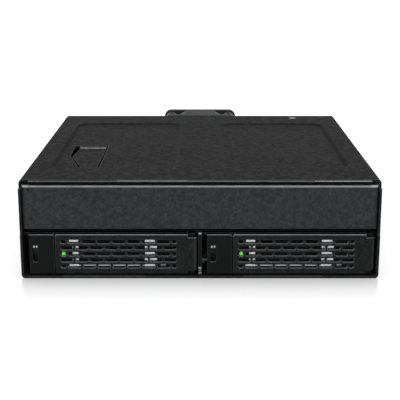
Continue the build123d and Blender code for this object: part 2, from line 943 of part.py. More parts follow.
with BuildPart() as speed_switch_knob:
    knob_x = switch_x - switch_travel / 2
    with BuildSketch(front_plane(cage_depth - rear_port_inset - switch_slot_depth + fit_gap)):
        with Locations((knob_x, switch_z)):
            Rectangle(
                switch_slot_width - switch_travel - 2 * fit_gap,
                switch_slot_height - 2 * fit_gap,
            )
    extrude(amount=-(switch_slot_depth + switch_knob_proud))
    for groove in (-1, 0, 1):
        with BuildSketch(front_plane(cage_depth - rear_port_inset + switch_knob_proud)):
            with Locations((knob_x + groove * knob_groove_pitch, switch_z)):
                Rectangle(knob_groove, switch_slot_height)
        extrude(amount=knob_groove, mode=Mode.SUBTRACT)

# Fan

with BuildPart() as fan_gasket:
    with BuildSketch(front_plane(cage_depth)):
        with Locations((0, fan_centre_z)):
            RectangleRounded(
                fan_size - 2 * fan_gasket_inset,
                fan_size - 2 * fan_gasket_inset,
                fan_corner,
            )
            Circle(fan_bore_radius - fan_gasket_bore_gap, mode=Mode.SUBTRACT)
            with GridLocations(fan_hole_pitch, fan_hole_pitch, 2, 2):
                Circle(fan_hole_radius, mode=Mode.SUBTRACT)
    extrude(amount=-fan_gasket_depth)

with BuildPart() as fan_frame:
    # flared barrel, cut flat where it meets the square outline
    flare_front = math.hypot(fan_size / 2, fan_flat_front)
    flare_rear = math.hypot(fan_size / 2, fan_flat_rear)
    with BuildSketch(front_plane(fan_front_y)):
        with Locations((0, fan_centre_z)):
            Circle(flare_front)
    with BuildSketch(front_plane(fan_rear_y)):
        with Locations((0, fan_centre_z)):
            Circle(flare_rear)
    loft()
    # tubes that carry the screws through the corners
    with BuildSketch(front_plane(fan_front_y)):
        with Locations((0, fan_centre_z)):
            with GridLocations(fan_hole_pitch, fan_hole_pitch, 2, 2):
                Circle(fan_post_radius)
    extrude(amount=-fan_depth)
    with BuildSketch(front_plane(fan_front_y)):
        with Locations((0, fan_centre_z)):
            RectangleRounded(fan_size, fan_size, fan_corner)
    extrude(amount=-fan_depth, mode=Mode.INTERSECT)
    # square flanges at both ends
    for flange_y in (fan_front_y, fan_rear_y - fan_flange):
        with BuildSketch(front_plane(flange_y)):
            with Locations((0, fan_centre_z)):
                RectangleRounded(fan_size, fan_size, fan_corner)
        extrude(amount=-fan_flange)
    # bore and screw holes
    with BuildSketch(front_plane(fan_front_y)):
        with Locations((0, fan_centre_z)):
            Circle(fan_bore_radius)
            with GridLocations(fan_hole_pitch, fan_hole_pitch, 2, 2):
                Circle(fan_hole_radius)
    extrude(amount=-fan_depth, mode=Mode.SUBTRACT)
    # struts, motor mount and bearing tube
    with BuildSketch(front_plane(fan_rear_y - fan_strut_depth)):
        with Locations((0, fan_centre_z)):
            Circle(fan_hub_radius)
            with PolarLocations(0, 4, start_angle=45):
                with Locations(((fan_hub_radius + fan_bore_radius) / 2, 0)):
                    Rectangle(fan_blade_length + 2 * fan_strut_sink, fan_strut_width)
    extrude(amount=-fan_strut_depth)
    with BuildSketch(front_plane(fan_rear_y - fan_strut_depth)):
        with Locations((0, fan_centre_z)):
            Circle(fan_bearing_radius)
    extrude(amount=fan_bearing_length)
    with BuildSketch(front_plane(fan_rear_y - fan_strut_depth - fan_bearing_length)):
        with Locations((0, fan_centre_z)):
            Circle(fan_shaft_radius + fan_shaft_gap)
    extrude(amount=-(fan_bearing_length + fan_strut_depth / 2), mode=Mode.SUBTRACT)

with BuildPart() as fan_stator:
    # four wound poles round the bearing tube
    stator_y = fan_rear_y - fan_strut_depth - stator_gap
    with BuildSketch(front_plane(stator_y)):
        with Locations((0, fan_centre_z)):
            Circle(stator_core_radius)
            with PolarLocations(0, 4):
                with Locations((stator_radius / 2, 0)):
                    Rectangle(stator_radius, stator_pole_width)
                with Locations((stator_radius - stator_shoe / 2, 0)):
                    Rectangle(stator_shoe, stator_shoe_length)
            Circle(fan_bearing_radius, mode=Mode.SUBTRACT)
    extrude(amount=stator_depth)

with BuildPart() as fan_rotor:
    rotor_front_y = fan_front_y + rotor_inset
    rotor_rear_y = fan_rear_y - fan_strut_depth - rotor_gap
    with BuildSketch(front_plane(rotor_front_y)):
        with Locations((0, fan_centre_z)):
            Circle(fan_hub_radius)
    extrude(amount=-(rotor_rear_y - rotor_front_y))
    fillet(fan_rotor.edges().group_by(Axis.Y)[0], fan_hub_round)
    # blades: each is lofted between a steep root and a flatter tip
    for index in range(fan_blade_count):
        angle = 360 / fan_blade_count * index
        radial = Vector(1, 0, 0).rotate(Axis.Y, angle)
        for radius, pitch in (
            (fan_hub_radius - fan_blade_sink, fan_root_pitch),
            (fan_bore_radius, fan_tip_pitch),
        ):
            depth = rotor_rear_y - rotor_front_y - 2 * fan_blade_end_gap
            chord = depth / math.sin(math.radians(pitch))
            centre = Vector(0, (rotor_front_y + rotor_rear_y) / 2, fan_centre_z) + radial * radius
            along = Vector(0, 1, 0).rotate(Axis((0, 0, 0), tuple(radial)), 90 - pitch)
            with BuildSketch(Plane(origin=centre, x_dir=along, z_dir=radial)):
                Rectangle(chord, fan_blade_thick)
        loft()
    with BuildSketch(front_plane(rotor_front_y)):
        with Locations((0, fan_centre_z)):
            Circle(fan_bore_radius - fan_blade_tip_gap)
    extrude(amount=-(rotor_rear_y - rotor_front_y), mode=Mode.INTERSECT)
    # hollow behind, with the shaft on its axis
    with BuildSketch(front_plane(rotor_rear_y)):
        with Locations((0, fan_centre_z)):
            Circle(fan_hub_radius - fan_hub_wall)
    extrude(amount=rotor_rear_y - rotor_front_y - fan_hub_wall, mode=Mode.SUBTRACT)
    with BuildSketch(front_plane(rotor_front_y + fan_hub_wall)):
        with Locations((0, fan_centre_z)):
            Circle(fan_shaft_radius)
    extrude(amount=-(fan_rear_y - fan_strut_depth - rotor_front_y - fan_hub_wall))

with BuildPart() as fan_screws:
    for x_sign in (-1, 1):
        for z_sign in (-1, 1):
            centre = (x_sign * fan_hole_pitch / 2, fan_centre_z + z_sign * fan_hole_pitch / 2)
            with BuildSketch(front_plane(fan_rear_y)):
                with Locations(centre):
                    Circle(pan_head_radius)
            extrude(amount=-pan_head_height)
            with BuildSketch(front_plane(fan_rear_y)):
                with Locations(centre):
                    Circle(screw_m3_radius)
            extrude(amount=fan_rear_y - rear_plate_y + nut_height)

with BuildPart() as fan_nuts:
    for x_sign in (-1, 1):
        for z_sign in (-1, 1):
            centre = (x_sign * fan_hole_pitch / 2, fan_centre_z + z_sign * fan_hole_pitch / 2)
            with BuildSketch(front_plane(rear_plate_y)):
                with Locations(centre):
                    RegularPolygon(nut_radius, 6)
                    Circle(screw_m3_radius, mode=Mode.SUBTRACT)
            extrude(amount=nut_height)

# Carriers


def guide_rails():
    """Moulded rails on the floor that hold down the runners of both carriers."""
    with BuildPart() as rails:
        for centre_x in bay_centres.values():
            for side in (-1, 1):
                wall_inner = guide_x + guide_wall + guide_lip + guide_gap
                lip_bottom = sheet + runner_clear + guide_wall + guide_gap
                with BuildSketch(front_plane(guide_front_y)):
                    span(
                        centre_x + side * wall_inner,
                        centre_x + side * (wall_inner + guide_wall),
                        sheet,
                        lip_bottom + guide_wall,
                    )
                    span(
                        centre_x + side * (wall_inner - guide_lip),
                        centre_x + side * (wall_inner + guide_wall),
                        lip_bottom,
                        lip_bottom + guide_wall,
                    )
                extrude(amount=-(shelf_rear_y - guide_front_y))
    return rails.part


def carrier_runners(centre_x):
    """Runners under the sled, their lips turned out below the rails."""
    with BuildPart() as runners:
        for side in (-1, 1):
            bottom = sheet + runner_clear
            with BuildSketch(front_plane(guide_front_y)):
                span(
                    centre_x + side * guide_x,
                    centre_x + side * (guide_x + guide_wall),
                    bottom,
                    sled_bottom_z,
                )
                span(
                    centre_x + side * guide_x,
                    centre_x + side * (guide_x + guide_wall + guide_lip),
                    bottom,
                    bottom + guide_wall,
                )
            extrude(amount=-(sled_rear_y - guide_front_y))
    return runners.part


def sled(centre_x):
    """Plated steel sled that the drive is screwed to from below."""
    with BuildPart() as plate:
        with BuildSketch(Plane.XY.offset(sled_bottom_z)):
            span(centre_x - sled_half, centre_x + sled_half, sled_front_y, sled_rear_y)
            span(
                centre_x + window_left_x + fit_gap,
                centre_x + window_right_x - fit_gap,
                sled_tongue_front_y,
                sled_front_y,
            )
            for ear_left_x, ear_right_x in ear_spans:
                span(
                    centre_x + ear_left_x,
                    centre_x + ear_right_x,
                    ear_front_y,
                    sled_tongue_front_y,
                )
            # opening that lets the light guide pass below
            with Locations((centre_x + light_x, light_drop_y + light_bend_radius)):
                Rectangle(
                    2 * light_radius + 4 * light_gap,
                    light_slot_length,
                    mode=Mode.SUBTRACT,
                )
            # lightening windows under the drive
            with Locations((centre_x, drive_holes_y)):
                with GridLocations(sled_window_pitch, sled_window_pitch, 1, 2):
                    RectangleRounded(
                        sled_window_width,
                        sled_window_length,
                        sled_window_corner,
                        mode=Mode.SUBTRACT,
                    )
                with GridLocations(drive_hole_pitch_x, drive_hole_pitch_y, 2, 2):
                    Circle(drive_hole_radius, mode=Mode.SUBTRACT)
        extrude(amount=sled_sheet)
        # folded-down edges
        for side in (-1, 1):
            with BuildSketch(Plane.XY.offset(sled_bottom_z)):
                span(
                    centre_x + side * (sled_half - sled_sheet),
                    centre_x + side * sled_half,
                    sled_front_y,
                    sled_rear_y,
                )
            extrude(amount=-sled_side_drop)
        # bright ears seen behind the slotted door
        with BuildSketch(front_plane(ear_front_y)):
            for ear_left_x, ear_right_x in ear_spans:
                span(
                    centre_x + ear_left_x,
                    centre_x + ear_right_x,
                    sled_bottom_z,
                    ear_top_z,
                )
            # notch round the block beside the light guide
            span(
                centre_x + window_left_x,
                centre_x + light_block_right_x + fit_gap,
                light_z - light_block_height / 2 - fit_gap,
                light_z + light_block_height / 2 + fit_gap,
                mode=Mode.SUBTRACT,
            )
        extrude(amount=-sled_sheet)
        # lugs that are screwed to the back of the bezel
        with BuildSketch(front_plane(sled_front_y)):
            for left, right in ((latch_left_x, window_left_x), (window_right_x, sled_half)):
                span(
                    centre_x + left + lug_inset,
                    centre_x + right - lug_inset,
                    sled_bottom_z,
                    sled_top_z + lug_height,
                )
        extrude(amount=-sled_sheet)
        with BuildSketch(front_plane(sled_front_y)):
            with Locations((centre_x + bezel_screw_x, bezel_screw_z)):
                Circle(tray_screw_radius)
        extrude(amount=-sled_sheet, mode=Mode.SUBTRACT)
    return plate.part


def bezel(centre_x):
    """Black front frame: latch block, hinge block and the rails between them."""
    with BuildPart() as frame:
        with BuildSketch(front_plane(bezel_front_y)):
            span(
                centre_x + latch_left_x,
                centre_x + window_left_x,
                bezel_bottom_z,
                bezel_top_z,
            )
            span(
                centre_x + window_right_x,
                centre_x + sled_half,
                bezel_bottom_z,
                bezel_top_z,
            )
        extrude(amount=-(bezel_rear_y - bezel_front_y))
        with BuildSketch(front_plane(bezel_front_y)):
            span(
                centre_x - sled_half,
                centre_x + window_right_x,
                bezel_top_z - bezel_rail,
                bezel_top_z,
            )
            span(
                centre_x + window_left_x,
                centre_x + window_right_x,
                bezel_bottom_z,
                sled_bottom_z,
            )
            # block beside the light guide
            span(
                centre_x + window_left_x,
                centre_x + light_block_right_x,
                light_z - light_block_height / 2,
                light_z + light_block_height / 2,
            )
        extrude(amount=-bezel_rail_depth)
        # recess for the round nose of the door
        with BuildSketch(Plane.XY):
            with Locations((centre_x + hinge_x, hinge_y)):
                Circle(hinge_nose_radius + hinge_nose_gap)
            span(
                centre_x + hinge_x,
                centre_x + sled_half + sheet,
                0,
                hinge_y + hinge_nose_radius + hinge_nose_gap,
            )
        extrude(amount=cage_height, mode=Mode.SUBTRACT)
        # lugs above and below the nose, bored for the pin
        for lug_z in (bezel_top_z - hinge_lug, bezel_bottom_z):
            with BuildSketch(Plane.XY.offset(lug_z)):
                with Locations((centre_x + hinge_x, hinge_y)):
                    Circle(hinge_lug_radius)
                span(
                    centre_x + hinge_x - hinge_lug_radius,
                    centre_x + hinge_x + hinge_lug_radius,
                    hinge_y,
                    hinge_y + 2 * hinge_nose_radius,
                )
                with Locations((centre_x + hinge_x, hinge_y)):
                    Circle(hinge_pin_radius, mode=Mode.SUBTRACT)
            extrude(amount=hinge_lug)
        # groove of the latch foot
        with BuildSketch(front_plane(bezel_front_y)):
            span(
                centre_x + latch_foot_left - latch_travel - latch_groove_gap,
                centre_x + latch_foot_left + latch_foot_width + latch_groove_gap,
                latch_centre_z - latch_foot_height / 2 - latch_groove_gap,
                latch_centre_z + latch_foot_height / 2 + latch_groove_gap,
            )
        extrude(amount=-(latch_foot_depth + latch_groove_gap), mode=Mode.SUBTRACT)
        # passage of the light guide
        with BuildSketch(front_plane(bezel_front_y)):
            with Locations((centre_x + light_x, light_z)):
                Circle(light_radius + light_gap)
        extrude(amount=-(bezel_rear_y - bezel_front_y), mode=Mode.SUBTRACT)
        # seat and bore of the front screw
        with BuildSketch(front_plane(bezel_front_y)):
            with Locations((centre_x + bezel_screw_x, bezel_screw_z)):
                Circle(tray_screw_head + fit_gap)
        extrude(amount=-tray_screw_sink, mode=Mode.SUBTRACT)
        with BuildSketch(front_plane(bezel_front_y)):
            with Locations((centre_x + bezel_screw_x, bezel_screw_z)):
                Circle(tray_screw_radius)
        extrude(amount=-(bezel_rear_y - bezel_front_y), mode=Mode.SUBTRACT)
    return frame.part


def lever_door(centre_x):
    """Slotted door that doubles as the pull-out lever."""
    slot_z = [slot_row_top_z - slot_pitch_z * row for row in range(slot_rows)]
    with BuildPart() as door:
        with BuildSketch(front_plane(front_face_y)):
            span(
                centre_x + door_left_x,
                centre_x + hinge_x,
                door_bottom_z,
                door_top_z,
            )
        extrude(amount=-front_thick)
        # round nose about the hinge axis
        with BuildSketch(Plane.XY.offset(door_bottom_z)):
            with Locations((centre_x + hinge_x, hinge_y)):
                Circle(hinge_nose_radius)
        extrude(amount=door_top_z - door_bottom_z)
        front_rim = door.edges().filter_by(Axis.X).group_by(Axis.Y)[0]
        fillet(front_rim, edge_round)
        # corners cut away round the hinge lugs
        with BuildSketch(front_plane(0)):
            for z0, z1 in (
                (0, bezel_bottom_z + hinge_lug + lug_gap),
                (bezel_top_z - hinge_lug - lug_gap, bezel_top_z + lug_gap),
            ):
                span(
                    centre_x + hinge_x - hinge_lug_radius - hinge_nose_gap,
                    centre_x + door_right_x + lug_gap,
                    z0,
                    z1,
                )
        extrude(amount=-(hinge_y + 2 * hinge_nose_radius), mode=Mode.SUBTRACT)
        # staggered rows of air slots
        with BuildSketch(front_plane(front_face_y)):
            for row, z in enumerate(slot_z):
                shift = slot_pitch_x / 2 if row % 2 else 0
                first = slot_field_left_x - slot_width + slot_stub + shift
                for column in range(slot_columns):
                    left = first + column * slot_pitch_x
                    u0 = max(left, slot_field_left_x)
                    u1 = min(left + slot_width, slot_field_right_x)
                    if u1 - u0 > slot_height:
                        with Locations((centre_x + (u0 + u1) / 2, z)):
                            RectangleRounded(u1 - u0, slot_height, slot_corner)
            with Locations((centre_x + light_x, light_z)):
                Circle(light_window_radius)
        extrude(amount=-front_thick, mode=Mode.SUBTRACT)
        # finger notch at the free end and the bore of the pin
        with BuildSketch(front_plane(front_face_y)):
            with BuildLine():
                Polyline(
                    (centre_x + door_left_x, door_top_z),
                    (centre_x + door_left_x + notch_size, door_top_z),
                    (centre_x + door_left_x, door_top_z - notch_size),
                    close=True,
                )
            make_face()
        extrude(amount=-front_thick, mode=Mode.SUBTRACT)
        with BuildSketch(Plane.XY):
            with Locations((centre_x + hinge_x, hinge_y)):
                Circle(hinge_pin_radius + hinge_running_gap)
        extrude(amount=cage_height, mode=Mode.SUBTRACT)
    return door.part


def hinge_pin(centre_x):
    with BuildPart() as pin:
        with BuildSketch(Plane.XY.offset(bezel_bottom_z)):
            with Locations((centre_x + hinge_x, hinge_y)):
                Circle(hinge_pin_radius)
        extrude(amount=bezel_top_z - bezel_bottom_z)
    return pin.part


def latch_slide(centre_x):
    """Thumb latch: pushed left, it frees the door."""
    with BuildPart() as latch:
        with BuildSketch(front_plane(front_face_y)):
            span(
                centre_x + latch_left_x,
                centre_x + latch_right_x,
                door_bottom_z,
                door_top_z,
            )
        extrude(amount=-front_thick)
        fillet(latch.edges().group_by(Axis.Y)[0], edge_round)
        with BuildSketch(front_plane(front_rear_y)):
            span(
                centre_x + latch_foot_left,
                centre_x + latch_foot_left + latch_foot_width,
                latch_centre_z - latch_foot_height / 2,
                latch_centre_z + latch_foot_height / 2,
            )
        extrude(amount=-(bezel_front_y + latch_foot_depth - front_rear_y))
        # slot of the lock and the matching corner notch
        with BuildSketch(front_plane(front_face_y)):
            with Locations((centre_x + lock_x, lock_slot_bottom_z + lock_slot_height / 2)):
                RectangleRounded(lock_slot_width, lock_slot_height, lock_slot_corner)
            with BuildLine():
                Polyline(
                    (centre_x + latch_right_x, door_top_z),
                    (centre_x + latch_right_x - notch_size, door_top_z),
                    (centre_x + latch_right_x, door_top_z - notch_size),
                    close=True,
                )
            make_face()
        extrude(amount=-front_thick, mode=Mode.SUBTRACT)
    return latch.part


def lock_slider(centre_x):
    """Small lock that runs up and down in the latch."""
    top = lock_slot_bottom_z + lock_slot_height - lock_side_gap
    with BuildPart() as knob:
        with BuildSketch(front_plane(front_face_y + lock_recess)):
            with Locations((centre_x + lock_x, top - lock_knob_height / 2)):
                RectangleRounded(
                    lock_slot_width - 2 * lock_side_gap,
                    lock_knob_height,
                    lock_corner,
                )
        extrude(amount=-(front_thick - lock_recess - lock_rear_gap))
        # two grip ribs
        for side in (-1, 1):
            with BuildSketch(front_plane(front_face_y + lock_recess)):
                with Locations((centre_x + lock_x + side * lock_rib_pitch / 2, top - lock_rib_drop)):
                    Rectangle(lock_rib_width, lock_rib_height)
            extrude(amount=lock_rib_proud)
    return knob.part


def light_pipe(centre_x):
    """Clear rod from the lamp on the board to the window in the door."""
    x = centre_x + light_x
    with BuildPart() as pipe:
        with BuildLine() as route:
            FilletPolyline(
                (x, light_tip_y, light_z),
                (x, light_drop_y, light_z),
                (x, light_drop_y + 2 * light_bend_radius, light_low_z),
                (x, light_rear_y, light_low_z),
                radius=light_bend_radius,
            )
        with BuildSketch(front_plane(light_tip_y)):
            with Locations((x, light_z)):
                Circle(light_radius)
        sweep(path=route.line)
    return pipe.part


def tray_screws(centre_x):
    """Screw that ties the hinge block to the lug of the sled behind it."""
    with BuildPart() as screws:
        with BuildSketch(front_plane(bezel_front_y + tray_screw_sink)):
            with Locations((centre_x + bezel_screw_x, bezel_screw_z)):
                Circle(tray_screw_head)
        extrude(amount=tray_screw_sink)
        with BuildSketch(front_plane(bezel_front_y + tray_screw_sink)):
            with Locations((centre_x + bezel_screw_x, bezel_screw_z)):
                Circle(tray_screw_radius)
        extrude(amount=-(sled_front_y + sled_sheet - bezel_front_y - tray_screw_sink))
    return screws.part


for bay, bay_x in bay_centres.items():
    save(sled(bay_x), f"sled_{bay}")
    save(carrier_runners(bay_x), f"runners_{bay}")
    save(bezel(bay_x), f"bezel_{bay}")
    save(lever_door(bay_x), f"lever_door_{bay}")
    save(hinge_pin(bay_x), f"hinge_pin_{bay}")
    save(latch_slide(bay_x), f"latch_{bay}")
    save(lock_slider(bay_x), f"lock_slider_{bay}")
    save(light_pipe(bay_x), f"light_pipe_{bay}")
    save(tray_screws(bay_x), f"tray_screws_{bay}")
    save(drive_port(bay_x), f"drive_port_{bay}")

for port_name, (port_x, port_z, port_width) in rear_ports.items():
    save(rear_port(port_x, port_z, port_width), port_name)

save(guide_rails(), "guide_rails")
save(chassis_body.part, "chassis_body")
save(top_cover.part, "top_cover")
save(cover_clip.part, "cover_clip")
save(cover_screws.part, "cover_screws")
save(mid_shelf.part, "mid_shelf")
save(centre_divider.part, "centre_divider")
save(rear_plate.part, "rear_plate")
save(standoffs.part, "standoffs")
save(board_screws.part, "board_screws")
save(backplane_board.part, "backplane_board")
save(board_leds.part, "board_leds")
save(fan_header.part, "fan_header")
save(speed_switch_body.part, "speed_switch_body")
save(speed_switch_knob.part, "speed_switch_knob")
save(blank_cover.part, "blank_cover")
save(blank_clips.part, "blank_clips")
save(fan_gasket.part, "fan_gasket")
save(fan_frame.part, "fan_frame")
save(fan_stator.part, "fan_stator")
save(fan_rotor.part, "fan_rotor")
save(fan_screws.part, "fan_screws")
save(fan_nuts.part, "fan_nuts")
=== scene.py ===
import json
import math

import bmesh
import bpy
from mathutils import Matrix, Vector


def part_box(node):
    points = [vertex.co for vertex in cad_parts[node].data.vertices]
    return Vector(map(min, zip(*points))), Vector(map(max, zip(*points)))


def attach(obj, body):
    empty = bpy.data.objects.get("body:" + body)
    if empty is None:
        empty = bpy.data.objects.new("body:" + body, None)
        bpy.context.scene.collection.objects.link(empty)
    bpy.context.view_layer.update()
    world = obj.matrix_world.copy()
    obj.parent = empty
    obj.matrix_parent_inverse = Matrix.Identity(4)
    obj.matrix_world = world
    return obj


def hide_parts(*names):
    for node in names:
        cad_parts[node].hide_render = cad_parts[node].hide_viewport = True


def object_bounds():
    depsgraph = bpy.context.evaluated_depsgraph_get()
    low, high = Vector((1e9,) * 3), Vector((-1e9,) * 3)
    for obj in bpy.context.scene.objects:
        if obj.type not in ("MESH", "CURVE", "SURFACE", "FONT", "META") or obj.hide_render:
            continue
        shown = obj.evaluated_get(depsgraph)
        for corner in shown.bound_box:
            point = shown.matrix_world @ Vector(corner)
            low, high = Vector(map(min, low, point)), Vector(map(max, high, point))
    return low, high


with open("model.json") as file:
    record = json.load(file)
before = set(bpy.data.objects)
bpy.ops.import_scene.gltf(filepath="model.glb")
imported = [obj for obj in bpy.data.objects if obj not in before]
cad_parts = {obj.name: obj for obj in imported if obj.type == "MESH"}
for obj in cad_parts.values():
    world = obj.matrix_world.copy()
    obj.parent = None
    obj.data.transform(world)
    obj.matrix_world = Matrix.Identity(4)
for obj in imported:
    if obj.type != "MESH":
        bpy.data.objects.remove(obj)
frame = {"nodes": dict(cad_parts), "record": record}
cad_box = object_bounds()
nodes = frame["nodes"]
MM = 0.001
BAYS = ("a", "b")
# Points this close to the front of a node's box, in millimetres, lie on its front
FRONT_SKIN = 0.1


def corners_mm(node):
    """Low and high corner of a node's box, in millimetres."""
    return tuple(Vector(corner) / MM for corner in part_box(node))


def front_points(node):
    """Mesh points on the front of a node, in the frame's metres."""
    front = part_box(node)[0][1] + FRONT_SKIN * MM
    return [vert.co for vert in nodes[node].data.vertices if vert.co.y < front]


# Materials

# Detail and roughness of the noises for coats and spangle
GRAIN_NOISE = (3.0, 0.6)
# Wear along edges, with a painted highlight on the edges that face up as if lit by the top light: how far
# the bevelled normal turns from the true one, how far a rounded edge tilts, how much an edge has to face
# up for the painted highlight, and the patches in which the mask breaks up
BEVEL_SAMPLES = 6
SHARP_TURN = (0.80, 0.985)
ROUND_TILT = 0.80
TOP_LIT_TILT = (0.1, 0.5)
WEAR_PATCHES = (140.0, 3.0, 0.6)
WEAR_BREAK = (0.3, 0.6)
LEAST_WEAR = 0.7
# Spots of painted highlight and painted shade: their tint, how far a face has to be turned to the front or
# up, and the flecks in them
PAINTED_LIGHT_TINT = (0.98, 1.0, 1.0)
SPOT_TURN = (0.5, 0.8)
SPOT_FLECKS = (900.0, 2.0)
SPOT_BREAK = (0.35, 0.5)
LEAST_SPOT = 0.6
# Colour sockets of the mix node, which share their names with its other sockets
MIX_INPUTS = (6, 7)
MIX_OUTPUT = 2


class Graph:
    """Helper that builds one node material, with patterns placed in the frame's metres."""

    def __init__(self, name):
        self.mat = bpy.data.materials.new(name)
        self.mat.use_nodes = True
        self.tree = self.mat.node_tree
        self.tree.nodes.clear()
        self.out = self.node("OutputMaterial")
        self.shader = self.node("BsdfPrincipled")
        self.link(self.shader.outputs["BSDF"], self.out.inputs["Surface"])
        places = self.node("TexCoord")
        self.coords = places.outputs["Object"]
        self.normal = places.outputs["Normal"]

    def node(self, kind, **inputs):
        """New shader node with some of its inputs set."""
        made = self.tree.nodes.new("ShaderNode" + kind)
        for key, value in inputs.items():
            made.inputs[key.replace("_", " ")].default_value = value
        return made

    def link(self, a, b):
        self.tree.links.new(a, b)

    def math(self, operation, a, b=None, clamp=False):
        """Result of a math node on numbers or outputs."""
        made = self.tree.nodes.new("ShaderNodeMath")
        made.operation = operation
        made.use_clamp = clamp
        for socket, value in zip(made.inputs, (a, b)):
            if isinstance(value, (int, float)):
                socket.default_value = value
            elif value is not None:
                self.link(value, socket)
        return made.outputs["Value"]

    def noise(self, scale, detail=2.0, rough=0.5, stretch=None):
        """Noise pattern, denser along an axis by its stretch."""
        made = self.node("TexNoise", Scale=scale, Detail=detail, Roughness=rough)
        source = self.coords
        if stretch:
            mapping = self.node("Mapping", Scale=stretch)
            self.link(source, mapping.inputs["Vector"])
            source = mapping.outputs["Vector"]
        self.link(source, made.inputs["Vector"])
        return made.outputs["Fac"]

    def spread(self, source, low, high, from_low=0.0, from_high=1.0):
        """Values from low to high while the source runs over its own range."""
        made = self.node("MapRange", From_Min=from_low, From_Max=from_high, To_Min=low, To_Max=high)
        self.link(source, made.inputs["Value"])
        return made.outputs["Result"]

    def ramp(self, source, stops):
        """Colour from one stop to the other, each of them (position, colour)."""
        made = self.node("ValToRGB")
        for element, (position, colour) in zip(made.color_ramp.elements, stops):
            element.position = position
            element.color = rgba(colour)
        self.link(source, made.inputs["Fac"])
        return made.outputs["Color"]

    def mix(self, factor, a, b):
        """Colour a where the factor is 0, colour b where it is 1."""
        made = self.tree.nodes.new("ShaderNodeMix")
        made.data_type = "RGBA"
        self.link(factor, made.inputs["Factor"])
        for index, value in zip(MIX_INPUTS, (a, b)):
            if isinstance(value, (tuple, float)):
                made.inputs[index].default_value = rgba(value)
            else:
                self.link(value, made.inputs[index])
        return made.outputs[MIX_OUTPUT]

    def axes_of(self, vector):
        """The x, y and z of a vector."""
        parts = self.node("SeparateXYZ")
        self.link(vector, parts.inputs["Vector"])
        return parts.outputs["X"], parts.outputs["Y"], parts.outputs["Z"]

    def within(self, source, low, high, soft=0.0001):
        """1 between low and high, 0 outside, with a soft step at both ends."""
        above = self.spread(source, 0.0, 1.0, low - soft, low + soft)
        below = self.spread(source, 1.0, 0.0, high - soft, high + soft)
        return self.math("MULTIPLY", above, below)

    def edges(self, radius, top_lit_bias=0.75, tilt=0.97):
        """Mask of edge wear and painted highlight: rounded edges by their tilt, sharp ones by the bevel
        normal.

        The second argument is how much less an edge that doesn't face up gets the mask, a painted
        highlight as from the top light."""
        bevel = self.node("Bevel", Radius=radius)
        bevel.samples = BEVEL_SAMPLES
        flat = self.node("NewGeometry").outputs["True Normal"]
        turn = self.tree.nodes.new("ShaderNodeVectorMath")
        turn.operation = "DOT_PRODUCT"
        self.link(bevel.outputs["Normal"], turn.inputs[0])
        self.link(flat, turn.inputs[1])
        sharp = self.spread(turn.outputs["Value"], 1.0, 0.0, *SHARP_TURN)
        x, y, z = self.axes_of(self.normal)
        largest = self.math("MAXIMUM", self.math("ABSOLUTE", x), self.math("ABSOLUTE", y))
        largest = self.math("MAXIMUM", largest, self.math("ABSOLUTE", z))
        rounded = self.spread(largest, 1.0, 0.0, ROUND_TILT, tilt)
        mask = self.math("MAXIMUM", sharp, rounded)
        # Painted highlight: edges that face up get more of the mask, as if lit by the top light
        lift = self.spread(self.axes_of(bevel.outputs["Normal"])[2], 1.0 - top_lit_bias, 1.0, *TOP_LIT_TILT)
        patchy = self.spread(self.noise(*WEAR_PATCHES), LEAST_WEAR, 1.0, *WEAR_BREAK)
        return self.math("MULTIPLY", self.math("MULTIPLY", mask, lift), patchy, clamp=True)

    def inside(self, corners):
        """1 inside the box between two corners, 0 outside."""
        filled = None
        for axis, low, high in zip(self.axes_of(self.coords), *corners):
            part = self.within(axis, low, high)
            filled = part if filled is None else self.math("MULTIPLY", filled, part)
        return filled

    def painted_light_spots(self, colour, boxes):
        """Spots of painted highlight or painted shade, where a face turned to the front or up lies in one
        of the boxes.
        """
        if not boxes:
            return colour
        _, y, z = self.axes_of(self.normal)
        turned = self.math("MAXIMUM", self.math("MULTIPLY", y, -1.0), z)
        turned = self.spread(turned, 0.0, 1.0, *SPOT_TURN)
        patchy = self.spread(self.noise(*SPOT_FLECKS), LEAST_SPOT, 1.0, *SPOT_BREAK)
        for low, high, bright in boxes:
            spot = self.math("MULTIPLY", self.math("MULTIPLY", self.inside((low, high)), turned), patchy)
            colour = self.mix(spot, colour, tinted(bright, PAINTED_LIGHT_TINT))
        return colour

    def bump(self, source, strength, distance, below=None):
        """Fine relief of the surface, laid on another one below it."""
        made = self.node("Bump", Strength=strength, Distance=distance)
        self.link(source, made.inputs["Height"])
        if below is not None:
            self.link(below, made.inputs["Normal"])
        self.link(made.outputs["Normal"], self.shader.inputs["Normal"])
        return made.outputs["Normal"]

    def finish(self, colour, roughness, **values):
        """The material, with its colour and roughness linked and the shader's own values set."""
        self.link(colour, self.shader.inputs["Base Color"])
        self.link(roughness, self.shader.inputs["Roughness"])
        for key, value in values.items():
            self.shader.inputs[key.replace("_", " ")].default_value = value
        return self.mat


def rgba(colour):
    """Opaque colour from a grey tone or from three channels."""
    return (colour, colour, colour, 1.0) if isinstance(colour, (int, float)) else (*colour, 1.0)


def tinted(tone, tint):
    """Grey tone with a tint, as a colour."""
    return tuple(tone * t for t in tint)


# Ramps round the pressed panels: their tilt, where the outer ones begin beside the middle, and how much
# darker the painted shade on those makes them and how much lighter the painted light on the others makes
# them
PRESSED_SLOPE = (0.15, 0.5)
SLOPE_SOFT = 0.04
OUTER_RAMPS = (0.03, 0.045)
OUTER_SHADE = 0.75
INNER_SHADE = 0.3
